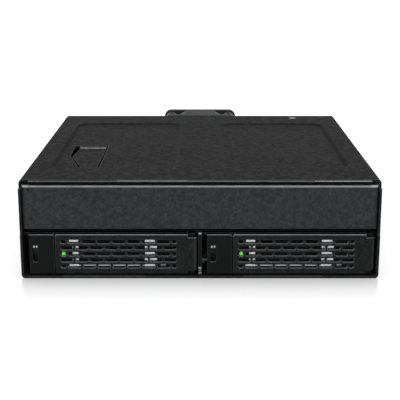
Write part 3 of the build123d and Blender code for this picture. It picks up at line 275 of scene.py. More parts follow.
# Textured coat: share of fine pebbles in its grain, how much coarser the mottle is, span of the grain,
# clouds, how they change the roughness, polish of rubbed edges, (strength, depth) of flow and grain
PEBBLE_SHARE = 0.55
MOTTLE_RATIO = 2.2
GRAIN_SPAN = (0.41, 0.59)
COAT_CLOUD = (30.0, 3.0)
COAT_GLOSS = (-0.06, 0.08)
COAT_POLISH = 0.2
COAT_FLOW = (0.04, 0.0004)
COAT_GRAIN = (0.5, 0.00012)
# Walls of slits, given painted shade: how far they are turned sideways, and the tone of the painted shade
SLIT_WALL = (0.55, 0.75)
SLIT_DARK = 0.001


def powder_coat(
    name,
    tone,
    wear_and_highlight_tone,
    rough=0.6,
    grain=900.0,
    contrast=0.5,
    specular=0.2,
    tint=(1.0, 1.0, 1.03),
    edge=(0.0005, 0.75, 0.97),
    painted_spots=(),
    slits=None,
):
    """Textured powder coat: pebbled grain, mottling, paint rubbed bright on its edges with a painted
    highlight on those that face up, and painted shade and painted light on the ramps of pressed panels.

    edge is (radius, how much an edge has to face up for the painted highlight, tilt) of the edge mask, the
    argument after it holds spots of painted highlight and painted shade, and slits is a box in which the
    side walls of cuts get painted shade."""
    g = Graph(name)
    pebbles = g.noise(grain, *GRAIN_NOISE)
    mottle = g.noise(grain / MOTTLE_RATIO, *GRAIN_NOISE)
    cloud = g.noise(*COAT_CLOUD)
    dark = tinted((1.0 - contrast) * tone, tint)
    light = tinted((1.0 + contrast) * tone, tint)
    fine = g.math("MULTIPLY", pebbles, PEBBLE_SHARE)
    grained = g.math("ADD", fine, g.math("MULTIPLY", mottle, 1.0 - PEBBLE_SHARE))
    paint = g.ramp(grained, tuple(zip(GRAIN_SPAN, (dark, light))))
    lean_x, lean_y, _ = g.axes_of(g.normal)
    # Painted shade on the outer side ramps, painted light on the inner side ramps and on the front and
    # rear ramps
    sideways = g.within(g.math("ABSOLUTE", lean_x), *PRESSED_SLOPE, soft=SLOPE_SOFT)
    lengthways = g.within(g.math("ABSOLUTE", lean_y), *PRESSED_SLOPE, soft=SLOPE_SOFT)
    off_middle = g.math("ABSOLUTE", g.axes_of(g.coords)[0])
    outer = g.spread(off_middle, 0.0, OUTER_SHADE, *OUTER_RAMPS)
    inner = g.spread(off_middle, INNER_SHADE, 0.0, *OUTER_RAMPS)
    paint = g.mix(g.math("MULTIPLY", sideways, outer), paint, dark)
    paint = g.mix(g.math("MULTIPLY", sideways, inner), paint, light)
    paint = g.mix(g.math("MULTIPLY", lengthways, INNER_SHADE), paint, light)
    # Edge wear, partly a painted highlight; then spots of painted highlight and painted shade
    wear_and_highlight_mask = g.edges(*edge)
    colour = g.painted_light_spots(g.mix(wear_and_highlight_mask, paint, tinted(wear_and_highlight_tone, tint)), painted_spots)
    if slits:
        # Painted shade on the side walls of the slits
        wall = g.spread(g.math("ABSOLUTE", lean_x), 0.0, 1.0, *SLIT_WALL)
        colour = g.mix(g.math("MULTIPLY", g.inside(slits), wall), colour, SLIT_DARK)
    polish = g.math("MULTIPLY", wear_and_highlight_mask, COAT_POLISH)
    gloss = g.spread(cloud, *(rough + step for step in COAT_GLOSS))
    roughness = g.math("SUBTRACT", gloss, polish)
    low = g.bump(cloud, *COAT_FLOW)
    g.bump(grained, *COAT_GRAIN, below=low)
    return g.finish(colour, roughness, Specular_IOR_Level=specular)


# Moulded plastic: its grain, flow marks, spread of its tone, shine and depth of the grain
MOULD_NOISE = (2.0, 0.6)
FLOW_MARKS = (55.0, 2.0)
FLOW_TONES = (0.75, 1.25)
FLOW_SPAN = (0.4, 0.6)
MOULD_GLOSS = (-0.05, 0.07)
MOULD_POLISH = 0.15
MOULD_GRAIN = (0.3, 0.00006)


def moulded(
    name,
    tone,
    wear_and_highlight_tone,
    rough=0.5,
    grain=1800.0,
    specular=0.2,
    tint=(1.0, 1.0, 1.0),
    edge=(0.0004, 0.75, 0.97),
    painted_spots=(),
):
    """Moulded plastic with a spark-eroded grain and lightly polished edges, lightened partly by wear,
    partly by a painted highlight.

    edge and bare are as for the powder coat."""
    g = Graph(name)
    fine = g.noise(grain, *MOULD_NOISE)
    flow = g.math("MULTIPLY", g.math("ADD", fine, g.noise(*FLOW_MARKS)), 0.5)
    body = g.ramp(flow, [(at, tinted(share * tone, tint)) for at, share in zip(FLOW_SPAN, FLOW_TONES)])
    # Edge wear, partly a painted highlight on the edges that face up
    wear_and_highlight_mask = g.edges(*edge)
    colour = g.painted_light_spots(g.mix(wear_and_highlight_mask, body, tinted(wear_and_highlight_tone, tint)), painted_spots)
    polish = g.math("MULTIPLY", wear_and_highlight_mask, MOULD_POLISH)
    gloss = g.spread(fine, *(rough + step for step in MOULD_GLOSS))
    roughness = g.math("SUBTRACT", gloss, polish)
    g.bump(fine, *MOULD_GRAIN)
    return g.finish(colour, roughness, Specular_IOR_Level=specular)


# Metal: drawn scratches, span of its spangle, edges rubbed bright and partly a painted highlight on those
# facing up, shine and depth of the scratches
SCRATCHES = (700.0, 2.0, 0.5, (1.0, 12.0, 1.0))
SPANGLE_SPAN = (0.35, 0.65)
METAL_EDGE = 0.0003
METAL_TOP_LIT = 0.3
WEAR_AND_HIGHLIGHT_GAIN = 1.25
METAL_GLOSS = (-0.08, 0.1)
SCRATCH_DEPTH = (0.08, 0.00003)


def metal(name, dark, light, rough=0.34, scale=260.0, stretch=(1.0, 1.0, 1.0), metallic=1.0, painted_spots=()):
    """Plated or drawn metal: soft spangle, drawn scratches, and bright edges, rubbed and partly a painted
    highlight.
    """
    g = Graph(name)
    spangle = g.noise(scale, *GRAIN_NOISE, stretch)
    scratches = g.noise(*SCRATCHES)
    body = g.ramp(spangle, tuple(zip(SPANGLE_SPAN, (dark, light))))
    # Bright edges: partly rubbed metal, partly a painted highlight on the edges that face up
    wear_and_highlight_mask = g.edges(METAL_EDGE, top_lit_bias=METAL_TOP_LIT)
    bright = tuple(min(1.0, WEAR_AND_HIGHLIGHT_GAIN * c) for c in rgba(light)[:3])
    colour = g.painted_light_spots(g.mix(wear_and_highlight_mask, body, bright), painted_spots)
    roughness = g.spread(scratches, *(rough + step for step in METAL_GLOSS))
    g.bump(scratches, *SCRATCH_DEPTH)
    return g.finish(colour, roughness, Metallic=metallic)


# Light guide: where its light fades along y and the radius of its bright core, in the frame's metres,
# then clouds in the acrylic, their tones, shine and waviness, and how clear it is
LIT_TIP = (0.0016, 0.0030)
LIT_CORE = 0.0006
GUIDE_CLOUD = (500.0, 2.0)
GUIDE_SPAN = (0.3, 0.7)
GUIDE_DULL = 0.92
GUIDE_GLOSS = (0.12, 0.2)
GUIDE_WAVES = (0.05, 0.00002)
GUIDE_CLEAR = 0.4
ACRYLIC_IOR = 1.49


def light_guide(name, body, glow, core, tip):
    """Clear acrylic rod, lit only at the tip that shows in the door, brightest at its middle."""
    g = Graph(name)
    cloud = g.noise(*GUIDE_CLOUD)
    x, y, z = g.axes_of(g.coords)
    off_x = g.math("SUBTRACT", x, tip.x)
    off_z = g.math("SUBTRACT", z, tip.z)
    off = g.math("ADD", g.math("MULTIPLY", off_x, off_x), g.math("MULTIPLY", off_z, off_z))
    middle = g.spread(off, 1.0, 0.0, 0.0, LIT_CORE**2)
    lit = g.spread(y, 1.0, 0.0, *LIT_TIP)
    colour = g.ramp(cloud, tuple(zip(GUIDE_SPAN, (tinted(GUIDE_DULL, body), body))))
    g.link(lit, g.shader.inputs["Emission Strength"])
    g.link(g.mix(middle, glow, core), g.shader.inputs["Emission Color"])
    g.bump(cloud, *GUIDE_WAVES)
    gloss = g.spread(cloud, *GUIDE_GLOSS)
    return g.finish(g.mix(lit, colour, glow), gloss, Transmission_Weight=GUIDE_CLEAR, IOR=ACRYLIC_IOR)


# Board: copper runs under the solder mask, bare glass fibre at the edges
COPPER_RUNS = (90.0, 0.0, 0.5, (1.0, 1.0, 6.0))
RUN_SPAN = (0.49, 0.51)
MASK_GREENS = ((0.006, 0.055, 0.024), (0.012, 0.09, 0.04))
BOARD_EDGE = (0.30, 0.27, 0.16)
MASK_GRAIN = (900.0, 2.0)
MASK_GLOSS = (0.3, 0.42)
RUN_HEIGHT = (0.2, 0.00003)


def board_mask(name):
    """Green solder mask over faint copper runs."""
    g = Graph(name)
    runs = g.noise(*COPPER_RUNS)
    body = g.ramp(runs, tuple(zip(RUN_SPAN, MASK_GREENS)))
    # Bare glass fibre at the edges, with a painted highlight on those that face up
    wear_and_highlight_mask = g.edges(METAL_EDGE, top_lit_bias=METAL_TOP_LIT)
    g.bump(runs, *RUN_HEIGHT)
    return g.finish(g.mix(wear_and_highlight_mask, body, BOARD_EDGE), g.spread(g.noise(*MASK_GRAIN), *MASK_GLOSS))


# Box round the spring tab, in which the walls of its slits get painted shade, in the frame's metres
TAB_SLITS = ((-0.0610, 0.0250, 0.0380), (-0.0420, 0.0740, 0.0404))
# Spots of painted highlight and painted shade: (low corner, high corner, brightness), in the frame's
# metres
# Painted highlight along the far cut edge of the spring tab's opening
TAB_CUT_HIGHLIGHT = ((-0.0565, 0.0690, 0.0390), (-0.0436, 0.0698, 0.0401), 0.30)
# Painted highlights along the cover's front lip, brighter in some stretches
LIP_HIGHLIGHTS = (
    ((-0.073, 0.0006, 0.0406), (-0.033, 0.0017, 0.0412), 0.05),
    ((-0.033, 0.0006, 0.0406), (-0.005, 0.0019, 0.0412), 0.11),
    ((-0.005, 0.0006, 0.0406), (0.042, 0.0017, 0.0412), 0.08),
    ((0.042, 0.0006, 0.0406), (0.073, 0.0017, 0.0412), 0.05),
    ((-0.033, -0.001, 0.0408), (-0.005, 0.0006, 0.0412), 0.16),
    ((0.046, -0.001, 0.0408), (0.070, 0.0006, 0.0412), 0.30),
)
# Painted shade on the front face of the lip below its rounded edge
LIP_SHADE = ((-0.073, -0.001, 0.0380), (0.073, 0.0001, 0.0403), 0.002)
# Painted highlight along the front edge of the chassis floor
FLOOR_EDGE_HIGHLIGHT = (
    ((-0.0560, -0.001, 0.0007), (-0.0225, 0.0010, 0.0012), 0.06),
    ((0.0180, -0.001, 0.0007), (0.0500, 0.0010, 0.0012), 0.06),
)
# Painted glints on the front of the centre divider, at its foot and near its top
DIVIDER_GLINTS = (
    ((-0.0007, 0.0, 0.0018), (0.0007, 0.0016, 0.0023), 0.30),
    ((-0.0004, 0.0, 0.0028), (0.0004, 0.0016, 0.0033), 0.30),
    ((-0.0007, 0.0, 0.0037), (0.0006, 0.0016, 0.0046), 0.25),
    ((-0.0006, 0.0, 0.0185), (0.0006, 0.0016, 0.0192), 0.35),
)


# Painted glints on the clip, in millimetres: beside its middle, half their width, and from its rear
GLINT_SIDES = (-0.6, 0.6)
GLINT_HALF = 0.42
GLINT_REACH = (2.6, 0.4)
GLINT_BRIGHT = 0.6
# Painted glints on the prongs of the lock: from its bottom, behind its front and from its top, in
# millimetres
PRONG_BOTTOM = 2.2
PRONG_DEPTH = 0.1
PRONG_TOP = 0.2
PRONG_GLINT = 0.6
# Ears of the sled, with a painted highlight on their front faces: how deep it reaches, in millimetres
EAR_DEPTH = 0.4
EAR_HIGHLIGHT = 1.0


def clip_glints():
    """Two spots of painted glint on the clip's crown, side by side at its rear."""
    low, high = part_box("cover_clip")
    spots = []
    for side in GLINT_SIDES:
        middle = (low[0] + high[0]) / 2 + side * MM
        near = (middle - GLINT_HALF * MM, high[1] - GLINT_REACH[0] * MM, high[2] - MM)
        far = (middle + GLINT_HALF * MM, high[1] - GLINT_REACH[1] * MM, high[2] + MM)
        spots.append((near, far, GLINT_BRIGHT))
    return spots


def lock_prong_glints(bay):
    """Painted glints on the two small prongs at the top of the lock."""
    low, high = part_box(f"lock_slider_{bay}")
    near = (low[0], low[1] - MM, low[2] + PRONG_BOTTOM * MM)
    far = (high[0], low[1] + PRONG_DEPTH * MM, high[2] - PRONG_TOP * MM)
    return [(near, far, PRONG_GLINT)]


def sled_ear_highlights(bay):
    """Painted highlight on the front faces of the sled's ears."""
    low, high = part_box(f"sled_{bay}")
    near = (low[0], low[1] - MM, low[2])
    far = (high[0], low[1] + EAR_DEPTH * MM, high[2] + MM)
    return [(near, far, EAR_HIGHLIGHT)]


def guide_tip(bay):
    """Middle of the front end of a light guide."""
    ends = front_points(f"light_pipe_{bay}")
    return sum(ends, Vector()) / len(ends)


WHITE_PLATE = ((0.78, 0.87, 0.89), (0.90, 0.98, 1.0))
ZINC_SHEET = ((0.26, 0.28, 0.29), (0.42, 0.45, 0.46))
FRONT_TINT = (0.92, 1.0, 1.02)
# Colours of a light guide: acrylic, glow, and the glow's bright core
GUIDE_COLOURS = ((0.70, 0.92, 0.74), (0.025, 0.28, 0.003), (0.12, 0.60, 0.03))
# Materials of the detail pieces
nickel = metal("nickel_plate", dark=0.28, light=0.4, rough=0.36)
dark_nickel = metal("dark_nickel", dark=0.16, light=0.26, rough=0.4)
gold = metal("gold_flash", dark=(0.62, 0.42, 0.15), light=(0.85, 0.62, 0.26), rough=0.28)
aluminium = metal("aluminium_can", dark=0.55, light=0.7, rough=0.3)
ceramic = moulded("ceramic", tone=0.22, wear_and_highlight_tone=0.3, rough=0.4, tint=(1.0, 0.78, 0.55))
chip_black = moulded("chip_epoxy", tone=0.012, wear_and_highlight_tone=0.03, rough=0.55)
# Material of each slot in the record
materials = {
    "cage_paint": powder_coat("cage_powder_coat", tone=0.012, wear_and_highlight_tone=0.07, contrast=0.4, specular=0.04),
    "cover_paint": powder_coat(
        "cover_powder_coat",
        tone=0.0128,
        wear_and_highlight_tone=0.14,
        grain=650.0,
        contrast=0.65,
        specular=0.02,
        edge=(0.0005, 0.75, 0.90),
        painted_spots=(TAB_CUT_HIGHLIGHT, *LIP_HIGHLIGHTS, LIP_SHADE),
        slits=TAB_SLITS,
    ),
    "blank_paint": powder_coat(
        "blank_powder_coat",
        tone=0.0262,
        wear_and_highlight_tone=0.40,
        contrast=0.3,
        specular=0.08,
        tint=(0.97, 1.0, 1.05),
        edge=(0.0005, 1.0, 0.97),
    ),
    "door_paint": powder_coat(
        "door_powder_coat",
        tone=0.0085,
        wear_and_highlight_tone=0.32,
        grain=1500.0,
        specular=0.08,
        tint=FRONT_TINT,
        edge=(0.0006, 0.9, 0.97),
    ),
    "plated_steel": metal("zinc_plate", *WHITE_PLATE, rough=0.45, metallic=0.35),
    "spring_steel": metal("spring_steel", dark=0.42, light=0.6, stretch=(1.0, 6.0, 1.0)),
    "pin_steel": metal("pin_steel", dark=0.2, light=0.3),
    "black_screws": metal("black_zinc", dark=0.025, light=0.045, rough=0.42),
    "board": board_mask("solder_mask"),
    "lamp_green": moulded("lamp_lens", tone=0.6, wear_and_highlight_tone=0.7, tint=(0.8, 1.0, 0.8)),
    "connector_plastic": moulded("connector_black", tone=0.012, wear_and_highlight_tone=0.06),
    "switch_plastic": moulded("switch_ivory", tone=0.5, wear_and_highlight_tone=0.62, tint=(1.0, 0.98, 0.92)),
    "gasket_rubber": moulded("gasket_rubber", tone=0.015, wear_and_highlight_tone=0.03, rough=0.68, specular=0.1),
    "fan_plastic": moulded("fan_black", tone=0.018, wear_and_highlight_tone=0.16, specular=0.06, tint=(0.96, 1.0, 1.06)),
    "rotor_plastic": moulded("rotor_black", tone=0.016, wear_and_highlight_tone=0.08, specular=0.1),
    "copper_winding": metal("winding", dark=(0.5, 0.2, 0.08), light=(0.72, 0.34, 0.15)),
    "rail_plastic": moulded("rail_natural", tone=0.5, wear_and_highlight_tone=0.6),
    "bezel_plastic": moulded("bezel_black", tone=0.005, wear_and_highlight_tone=0.06, specular=0.04),
    "latch_plastic": moulded(
        "latch_black",
        tone=0.0042,
        wear_and_highlight_tone=0.22,
        specular=0.06,
        tint=FRONT_TINT,
        edge=(0.0005, 0.9, 0.97),
    ),
}
# Nodes with a material of their own
node_materials = {
    "chassis_body": powder_coat(
        "chassis_powder_coat",
        tone=0.012,
        wear_and_highlight_tone=0.07,
        contrast=0.4,
        specular=0.04,
        painted_spots=FLOOR_EDGE_HIGHLIGHT,
    ),
    # Painted shade: the shelf is darker than the rest of the cage, for the shaded gap between the blank
    # and the trays
    "mid_shelf": powder_coat("shelf_painted_shade_coat", tone=0.004, wear_and_highlight_tone=0.03, specular=0.02),
    "centre_divider": powder_coat(
        "divider_powder_coat",
        tone=0.006,
        wear_and_highlight_tone=0.10,
        specular=0.03,
        painted_spots=DIVIDER_GLINTS,
    ),
    "cover_clip": metal("clip_plate", dark=0.09, light=0.14, rough=0.5, painted_spots=clip_glints()),
    "standoffs": nickel,
    "fan_nuts": nickel,
}
for bay in BAYS:
    node_materials[f"lock_slider_{bay}"] = moulded(
        f"lock_black_{bay}",
        tone=0.008,
        wear_and_highlight_tone=0.10,
        specular=0.06,
        painted_spots=lock_prong_glints(bay),
    )
    node_materials[f"sled_{bay}"] = metal(
        f"zinc_sheet_{bay}",
        *ZINC_SHEET,
        rough=0.42,
        metallic=0.6,
        painted_spots=sled_ear_highlights(bay),
    )
    node_materials[f"light_pipe_{bay}"] = light_guide(
        f"light_guide_clear_{bay}",
        *GUIDE_COLOURS,
        guide_tip(bay),
    )

slot_of = {s["node"]: s["material_slot"] for s in frame["record"]["subparts"]}
# Small rounding of all sharp edges, in the frame's metres
EDGE_BREAK = 0.00016
EDGE_SEGMENTS = 2
EDGE_ANGLE = math.radians(35)

for name, obj in nodes.items():
    for slot in obj.material_slots:
        slot.material = node_materials.get(name) or materials[slot_of[name]]
    edge = obj.modifiers.new("edge_break", "BEVEL")
    edge.width = EDGE_BREAK
    edge.segments = EDGE_SEGMENTS
    edge.limit_method = "ANGLE"
    edge.angle_limit = EDGE_ANGLE
    edge.harden_normals = True


# Detail pieces: small forms that the CAD leaves out, with all lengths in millimetres

# Steps of a full turn, and the profile of a round bevel
TURN_STEPS = 28
ROUND_PROFILE = 0.5


def as_piece(name, bm, material, body):
    """Object from a built mesh, riding on a body."""
    bmesh.ops.recalc_face_normals(bm, faces=bm.faces)
    mesh = bpy.data.meshes.new(name)
    bm.to_mesh(mesh)
    bm.free()
    mesh.materials.append(material)
    mesh.shade_smooth()
    mesh.set_sharp_from_angle(angle=EDGE_ANGLE)
    obj = bpy.data.objects.new(name, mesh)
    bpy.context.collection.objects.link(obj)
    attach(obj, body)
    return obj


def slab(bm, low, high, rounding):
    """Block between two corners, with rounded edges."""
    low, high = Vector(low) * MM, Vector(high) * MM
    made = bmesh.ops.create_cube(bm, size=1.0)["verts"]
    for vert in made:
        vert.co = (low + high) / 2 + vert.co * (high - low)
    bmesh.ops.bevel(
        bm,
        geom=list({edge for vert in made for edge in vert.link_edges}),
        offset=rounding * MM,
        segments=EDGE_SEGMENTS,
        profile=ROUND_PROFILE,
        affect="EDGES",
    )


def lathe(bm, profile, place, along):
    """Turned shape: (distance, radius) pairs from place along a direction."""
    side = along.orthogonal().normalized()
    other = along.cross(side)
    rings = []
    for distance, radius in profile:
        middle = (place + along * distance) * MM
        ring = []
        for step in range(TURN_STEPS if radius else 1):
            angle = math.tau * step / TURN_STEPS
            out = math.cos(angle) * side + math.sin(angle) * other
            ring.append(bm.verts.new(middle + radius * MM * out))
        rings.append(ring)
    for near, far in zip(rings, rings[1:]):
        for step in range(TURN_STEPS):
            after = step + 1
            corners = [near[step % len(near)], near[after % len(near)]]
            corners += [far[after % len(far)], far[step % len(far)]]
            bm.faces.new(list(dict.fromkeys(corners)))


def ribbon(bm, x, width, path, thick):
    """Formed strip: (y, z) points of its middle line, swept across a width about x."""
    points = [Vector((x, y, z)) for y, z in path]
    rings = []
    for index, point in enumerate(points):
        run = points[min(index + 1, len(points) - 1)] - points[max(index - 1, 0)]
        out = Vector((0.0, -run.z, run.y)).normalized() * thick / 2
        across = Vector((width / 2, 0.0, 0.0))
        ring = (point - across - out, point + across - out, point + across + out, point - across + out)
        rings.append([bm.verts.new(corner * MM) for corner in ring])
    for near, far in zip(rings, rings[1:]):
        for step in range(len(near)):
            after = (step + 1) % len(near)
            bm.faces.new((near[step], near[after], far[after], far[step]))
    bm.faces.new(rings[0])
    bm.faces.new(rings[-1])


# Cross recess: how far the tool stands out of the head, and how narrow it is at its bottom
RECESS_LIFT = 0.2
RECESS_TAPER = 0.4


def cross(bm, place, along, reach, width, depth):
    """Tapered cross that is cut into a screw head, from place along a direction."""
    side = along.orthogonal().normalized()
    other = along.cross(side)
    quarter = ((width, width), (width, reach), (-width, reach))
    outline = []
    for turn in range(4):
        for u, v in quarter:
            for _ in range(turn):
                u, v = -v, u
            outline.append((u, v))
    rings = []
    for distance, scale in ((-RECESS_LIFT, 1.0), (depth, RECESS_TAPER)):
        middle = place + along * distance
        rings.append([bm.verts.new((middle + scale * (u * side + v * other)) * MM) for u, v in outline])
    for step in range(len(outline)):
        after = (step + 1) % len(outline)
        bm.faces.new((rings[0][step], rings[0][after], rings[1][after], rings[1][step]))
    bm.faces.new(rings[0])
    bm.faces.new(rings[1])


def cut(obj, tool):
    """Takes the tool's shape out of a piece and throws the tool away."""
    bmesh.ops.recalc_face_normals(tool, faces=tool.faces)
    mesh = bpy.data.meshes.new("tool")
    tool.to_mesh(mesh)
    tool.free()
    cutter = bpy.data.objects.new("tool", mesh)
    bpy.context.collection.objects.link(cutter)
    boolean = obj.modifiers.new("recess", "BOOLEAN")
    boolean.object = cutter
    shaped = bpy.data.meshes.new_from_object(obj.evaluated_get(bpy.context.evaluated_depsgraph_get()))
    obj.modifiers.clear()
    obj.data = shaped
    bpy.data.objects.remove(cutter)


# Screws: (head radius, head height, shank radius), and digits to which equal places are rounded
LARGE_SCREW = (2.8, 1.7, 1.5)
TRAY_SCREW = (1.4, 0.7, 0.9)
PLACE_DIGITS = 2
# Outline of a pan head: (share of its height, share of its radius)
DOME = ((-1.0, 0.0), (-1.0, 0.45), (-0.93, 0.70), (-0.74, 0.88), (-0.42, 1.0), (0.0, 1.0))
# Thread: longest length, turns in one shank radius, and the radius at its roots and at the tip
THREAD_LENGTH = 5.0
THREAD_TURNS = 3
THREAD_ROOT = 0.86
SHANK_TIP = 0.8
# Cross recess: reach and width as shares of the head's radius, depth as a share of its height
RECESS_REACH = 0.62
RECESS_WIDTH = 0.13
RECESS_DEPTH = 0.6


def threaded_profile(head_radius, head_height, shank_radius, reach):
    """Outline of a screw for the lathe, from the top of its head to its tip."""
    profile = [(distance * head_height, radius * head_radius) for distance, radius in DOME]
    profile.append((0.0, shank_radius))
    pitch = shank_radius / THREAD_TURNS
    turns = int(min(THREAD_LENGTH, reach) / pitch)
    for turn in range(turns):
        crest = reach - (turns - turn) * pitch
        profile += [(crest, shank_radius), (crest + pitch / 2, THREAD_ROOT * shank_radius)]
    return profile + [(reach, SHANK_TIP * shank_radius), (reach, 0.0)]


def cross_screws(node, size, forward, material, body):
    """Pan-head screws with a cross recess and a thread, one in each corner of the node's box.

    forward is the y direction in which they are driven."""
    head_radius, head_height, _ = size
    low, high = corners_mm(node)
    seat = low.y + head_height if forward > 0 else high.y - head_height
    profile = threaded_profile(*size, abs((high.y if forward > 0 else low.y) - seat))
    along = Vector((0.0, forward, 0.0))
    shares = (RECESS_REACH * head_radius, RECESS_WIDTH * head_radius, RECESS_DEPTH * head_height)
    heads, recesses = bmesh.new(), bmesh.new()
    xs = sorted({round(x, PLACE_DIGITS) for x in (low.x + head_radius, high.x - head_radius)})
    zs = sorted({round(z, PLACE_DIGITS) for z in (low.z + head_radius, high.z - head_radius)})
    for x in xs:
        for z in zs:
            place = Vector((x, seat, z))
            lathe(heads, profile, place, along)
            cross(recesses, place - along * head_height, along, *shares)
    piece = as_piece(f"{node}_cross_head", heads, material, body)
    cut(piece, recesses)
    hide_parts(node)


cross_screws("fan_screws", LARGE_SCREW, -1.0, nickel, "cage")
cross_screws("board_screws", LARGE_SCREW, 1.0, nickel, "cage")
for bay in BAYS:
    cross_screws(f"tray_screws_{bay}", TRAY_SCREW, 1.0, dark_nickel, f"carrier_{bay}")

# Contacts of the rear ports and of the drive ports

CONTACT_PITCH = 1.27
CONTACT_WIDTH = 0.6
CONTACT_SHEET = 0.2
# Rear ports: contacts of each, how far the key moves their middle, half the thickness of the blade,
# how far its nose lies inside the port, and how thick the port's floor is
REAR_CONTACTS = {"data_port_a": 7, "data_port_b": 7, "power_port": 15}
REAR_KEY_SHIFT = 0.6
BLADE_HALF = 0.6
BLADE_RECESS = 1.0
SHROUD_FLOOR = 1.6
# Contact on the underside of a blade: its seat as a share of the sheet, how far its root goes into
# the floor, and (distance from the nose, rise) along its end
CONTACT_SEAT = 0.4
ROOT_TUCK = 0.1
BLADE_END = ((0.8, 0.0), (0.3, 0.12), (0.05, 0.3))
# Contacts of a drive port: (x from its middle, count) of each row, and (distance from the slot's
# floor, rise) of each spring
DRIVE_ROWS = ((-7.15, 15), (11.2, 7))
DRIVE_SLOT_FLOOR = 1.6
DRIVE_SPRING = ((-0.1, 0.5), (3.5, 0.2), (5.6, -0.05), (6.5, 0.2))


def contact_row(bm, middle_x, count, path):
    """Row of equal contacts about a middle."""
    for index in range(count):
        x = middle_x + (index - (count - 1) / 2) * CONTACT_PITCH
        ribbon(bm, x, CONTACT_WIDTH, path, CONTACT_SHEET)


blades = bmesh.new()
for node, count in REAR_CONTACTS.items():
    low, high = corners_mm(node)
    under = (low.z + high.z) / 2 - BLADE_HALF - CONTACT_SEAT * CONTACT_SHEET
    nose = high.y - BLADE_RECESS
    path = [(low.y + SHROUD_FLOOR - ROOT_TUCK, under)]
    path += [(nose - off, under + rise) for off, rise in BLADE_END]
    contact_row(blades, (low.x + high.x) / 2 + REAR_KEY_SHIFT, count, path)
as_piece("rear_port_contacts", blades, gold, "cage")

springs = bmesh.new()
for bay in BAYS:
    low, high = corners_mm(f"drive_port_{bay}")
    floor_y = high.y - DRIVE_SLOT_FLOOR
    middle_z = (low.z + high.z) / 2
    path = [(floor_y - depth, middle_z + rise) for depth, rise in DRIVE_SPRING]
    for off_x, count in DRIVE_ROWS:
        contact_row(springs, (low.x + high.x) / 2 + off_x, count, path)
as_piece("drive_port_contacts", springs, gold, "cage")

# Small parts on the front of the board

BOARD_SINK = 0.02
# Chips: (x, z, width, height) of each, and (distance from the board, out of the body) along a leg
CHIPS = ((-8.0, 31.0, 9.9, 3.9), (12.0, 31.0, 4.9, 3.9), (-60.0, 15.3, 4.9, 3.9), (60.0, 15.3, 4.9, 3.9))
CHIP_THICK = 1.5
CHIP_LIFT = 0.1
CHIP_ROUNDING = 0.15
LEG_WIDTH = 0.42
LEG_SHEET = 0.2
LEG_SHAPE = ((0.8, -0.2), (0.8, 0.4), (0.1, 0.7), (0.1, 1.2))
# Capacitor cans: (x, z) of each, their square plinth, and (distance from the board, radius)
CANS = ((-31.0, 31.0), (-23.5, 31.0))
CAN_BASE = 2.65
CAN_PLINTH = 0.9
CAN_ROUNDING = 0.2
CAN_FOOT = ((0.4, 0.0), (0.4, 2.3), (0.8, 2.5), (1.6, 2.5), (1.9, 2.25), (2.2, 2.5))
CAN_TOP = ((5.1, 2.5), (5.4, 2.2), (5.4, 0.0))
# Passives: (z, first x, step, count) of each row, and their metal ends, which stand out a little
PASSIVE_ROWS = ((35.2, -18.0, 3.0, 13), (12.1, 26.0, 4.0, 7), (12.1, -50.0, 4.0, 7))
PASSIVE_SIZE = (2.0, 0.7, 1.2)
PASSIVE_INSET = 0.1
PASSIVE_END = 0.4
END_PROUD = 0.05
PASSIVE_ROUNDING = 0.05

board_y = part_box("backplane_board")[0][1] / MM
sunk_y = board_y + BOARD_SINK
bodies, legs, passives, cans = (bmesh.new() for _ in range(4))
for x, z, width, height in CHIPS:
    low = (x - width / 2, board_y - CHIP_THICK - CHIP_LIFT, z - height / 2)
    slab(bodies, low, (x + width / 2, board_y - CHIP_LIFT, z + height / 2), CHIP_ROUNDING)
    count = int(width / CONTACT_PITCH) + 1
    for index in range(count):
        leg_x = x + (index - (count - 1) / 2) * CONTACT_PITCH
        for side in (-1, 1):
            path = [(board_y - off, z + side * (height / 2 + out)) for off, out in LEG_SHAPE]
            ribbon(legs, leg_x, LEG_WIDTH, path, LEG_SHEET)
long, deep, tall = PASSIVE_SIZE
for z, first_x, step, count in PASSIVE_ROWS:
    for index in range(count):
        x = first_x + index * step
        low = (x - long / 2 + PASSIVE_INSET, board_y - deep, z - tall / 2)
        slab(passives, low, (x + long / 2 - PASSIVE_INSET, sunk_y, z + tall / 2), PASSIVE_ROUNDING)
        for side in (-1, 1):
            end = x + side * (long - PASSIVE_END) / 2
            low = (end - PASSIVE_END / 2, board_y - deep - END_PROUD, z - tall / 2 - END_PROUD)
            high = (end + PASSIVE_END / 2, sunk_y, z + tall / 2 + END_PROUD)
            slab(legs, low, high, PASSIVE_ROUNDING)
for x, z in CANS:
    low = (x - CAN_BASE, board_y - CAN_PLINTH, z - CAN_BASE)
    slab(bodies, low, (x + CAN_BASE, sunk_y, z + CAN_BASE), CAN_ROUNDING)
    lathe(cans, CAN_FOOT + CAN_TOP, Vector((x, board_y, z)), Vector((0.0, -1.0, 0.0)))
as_piece("board_chips", bodies, chip_black, "cage")
as_piece("board_chip_legs", legs, nickel, "cage")
as_piece("board_passives", passives, ceramic, "cage")
as_piece("board_capacitor_cans", cans, aluminium, "cage")

# Hemmed lip of each sled, on the lower bar of the bezel and between the ears

LIP_Y = (3.15, 3.7)
LIP_Z = (4.36, 4.64)
LIP_TUCK = 0.2
LIP_ROUNDING = 0.12

for bay in BAYS:
    ends = sorted({point.x / MM for point in front_points(f"sled_{bay}")})
    left, right = max(zip(ends, ends[1:]), key=lambda pair: pair[1] - pair[0])
    low = (left - LIP_TUCK, LIP_Y[0], LIP_Z[0])
    high = (right + LIP_TUCK, LIP_Y[1], LIP_Z[1])
    lip = bmesh.new()
    slab(lip, low, high, LIP_ROUNDING)
    as_piece(f"sled_lip_{bay}", lip, materials["plated_steel"], f"carrier_{bay}")


# Floor, backdrop and light, in the frame's metres

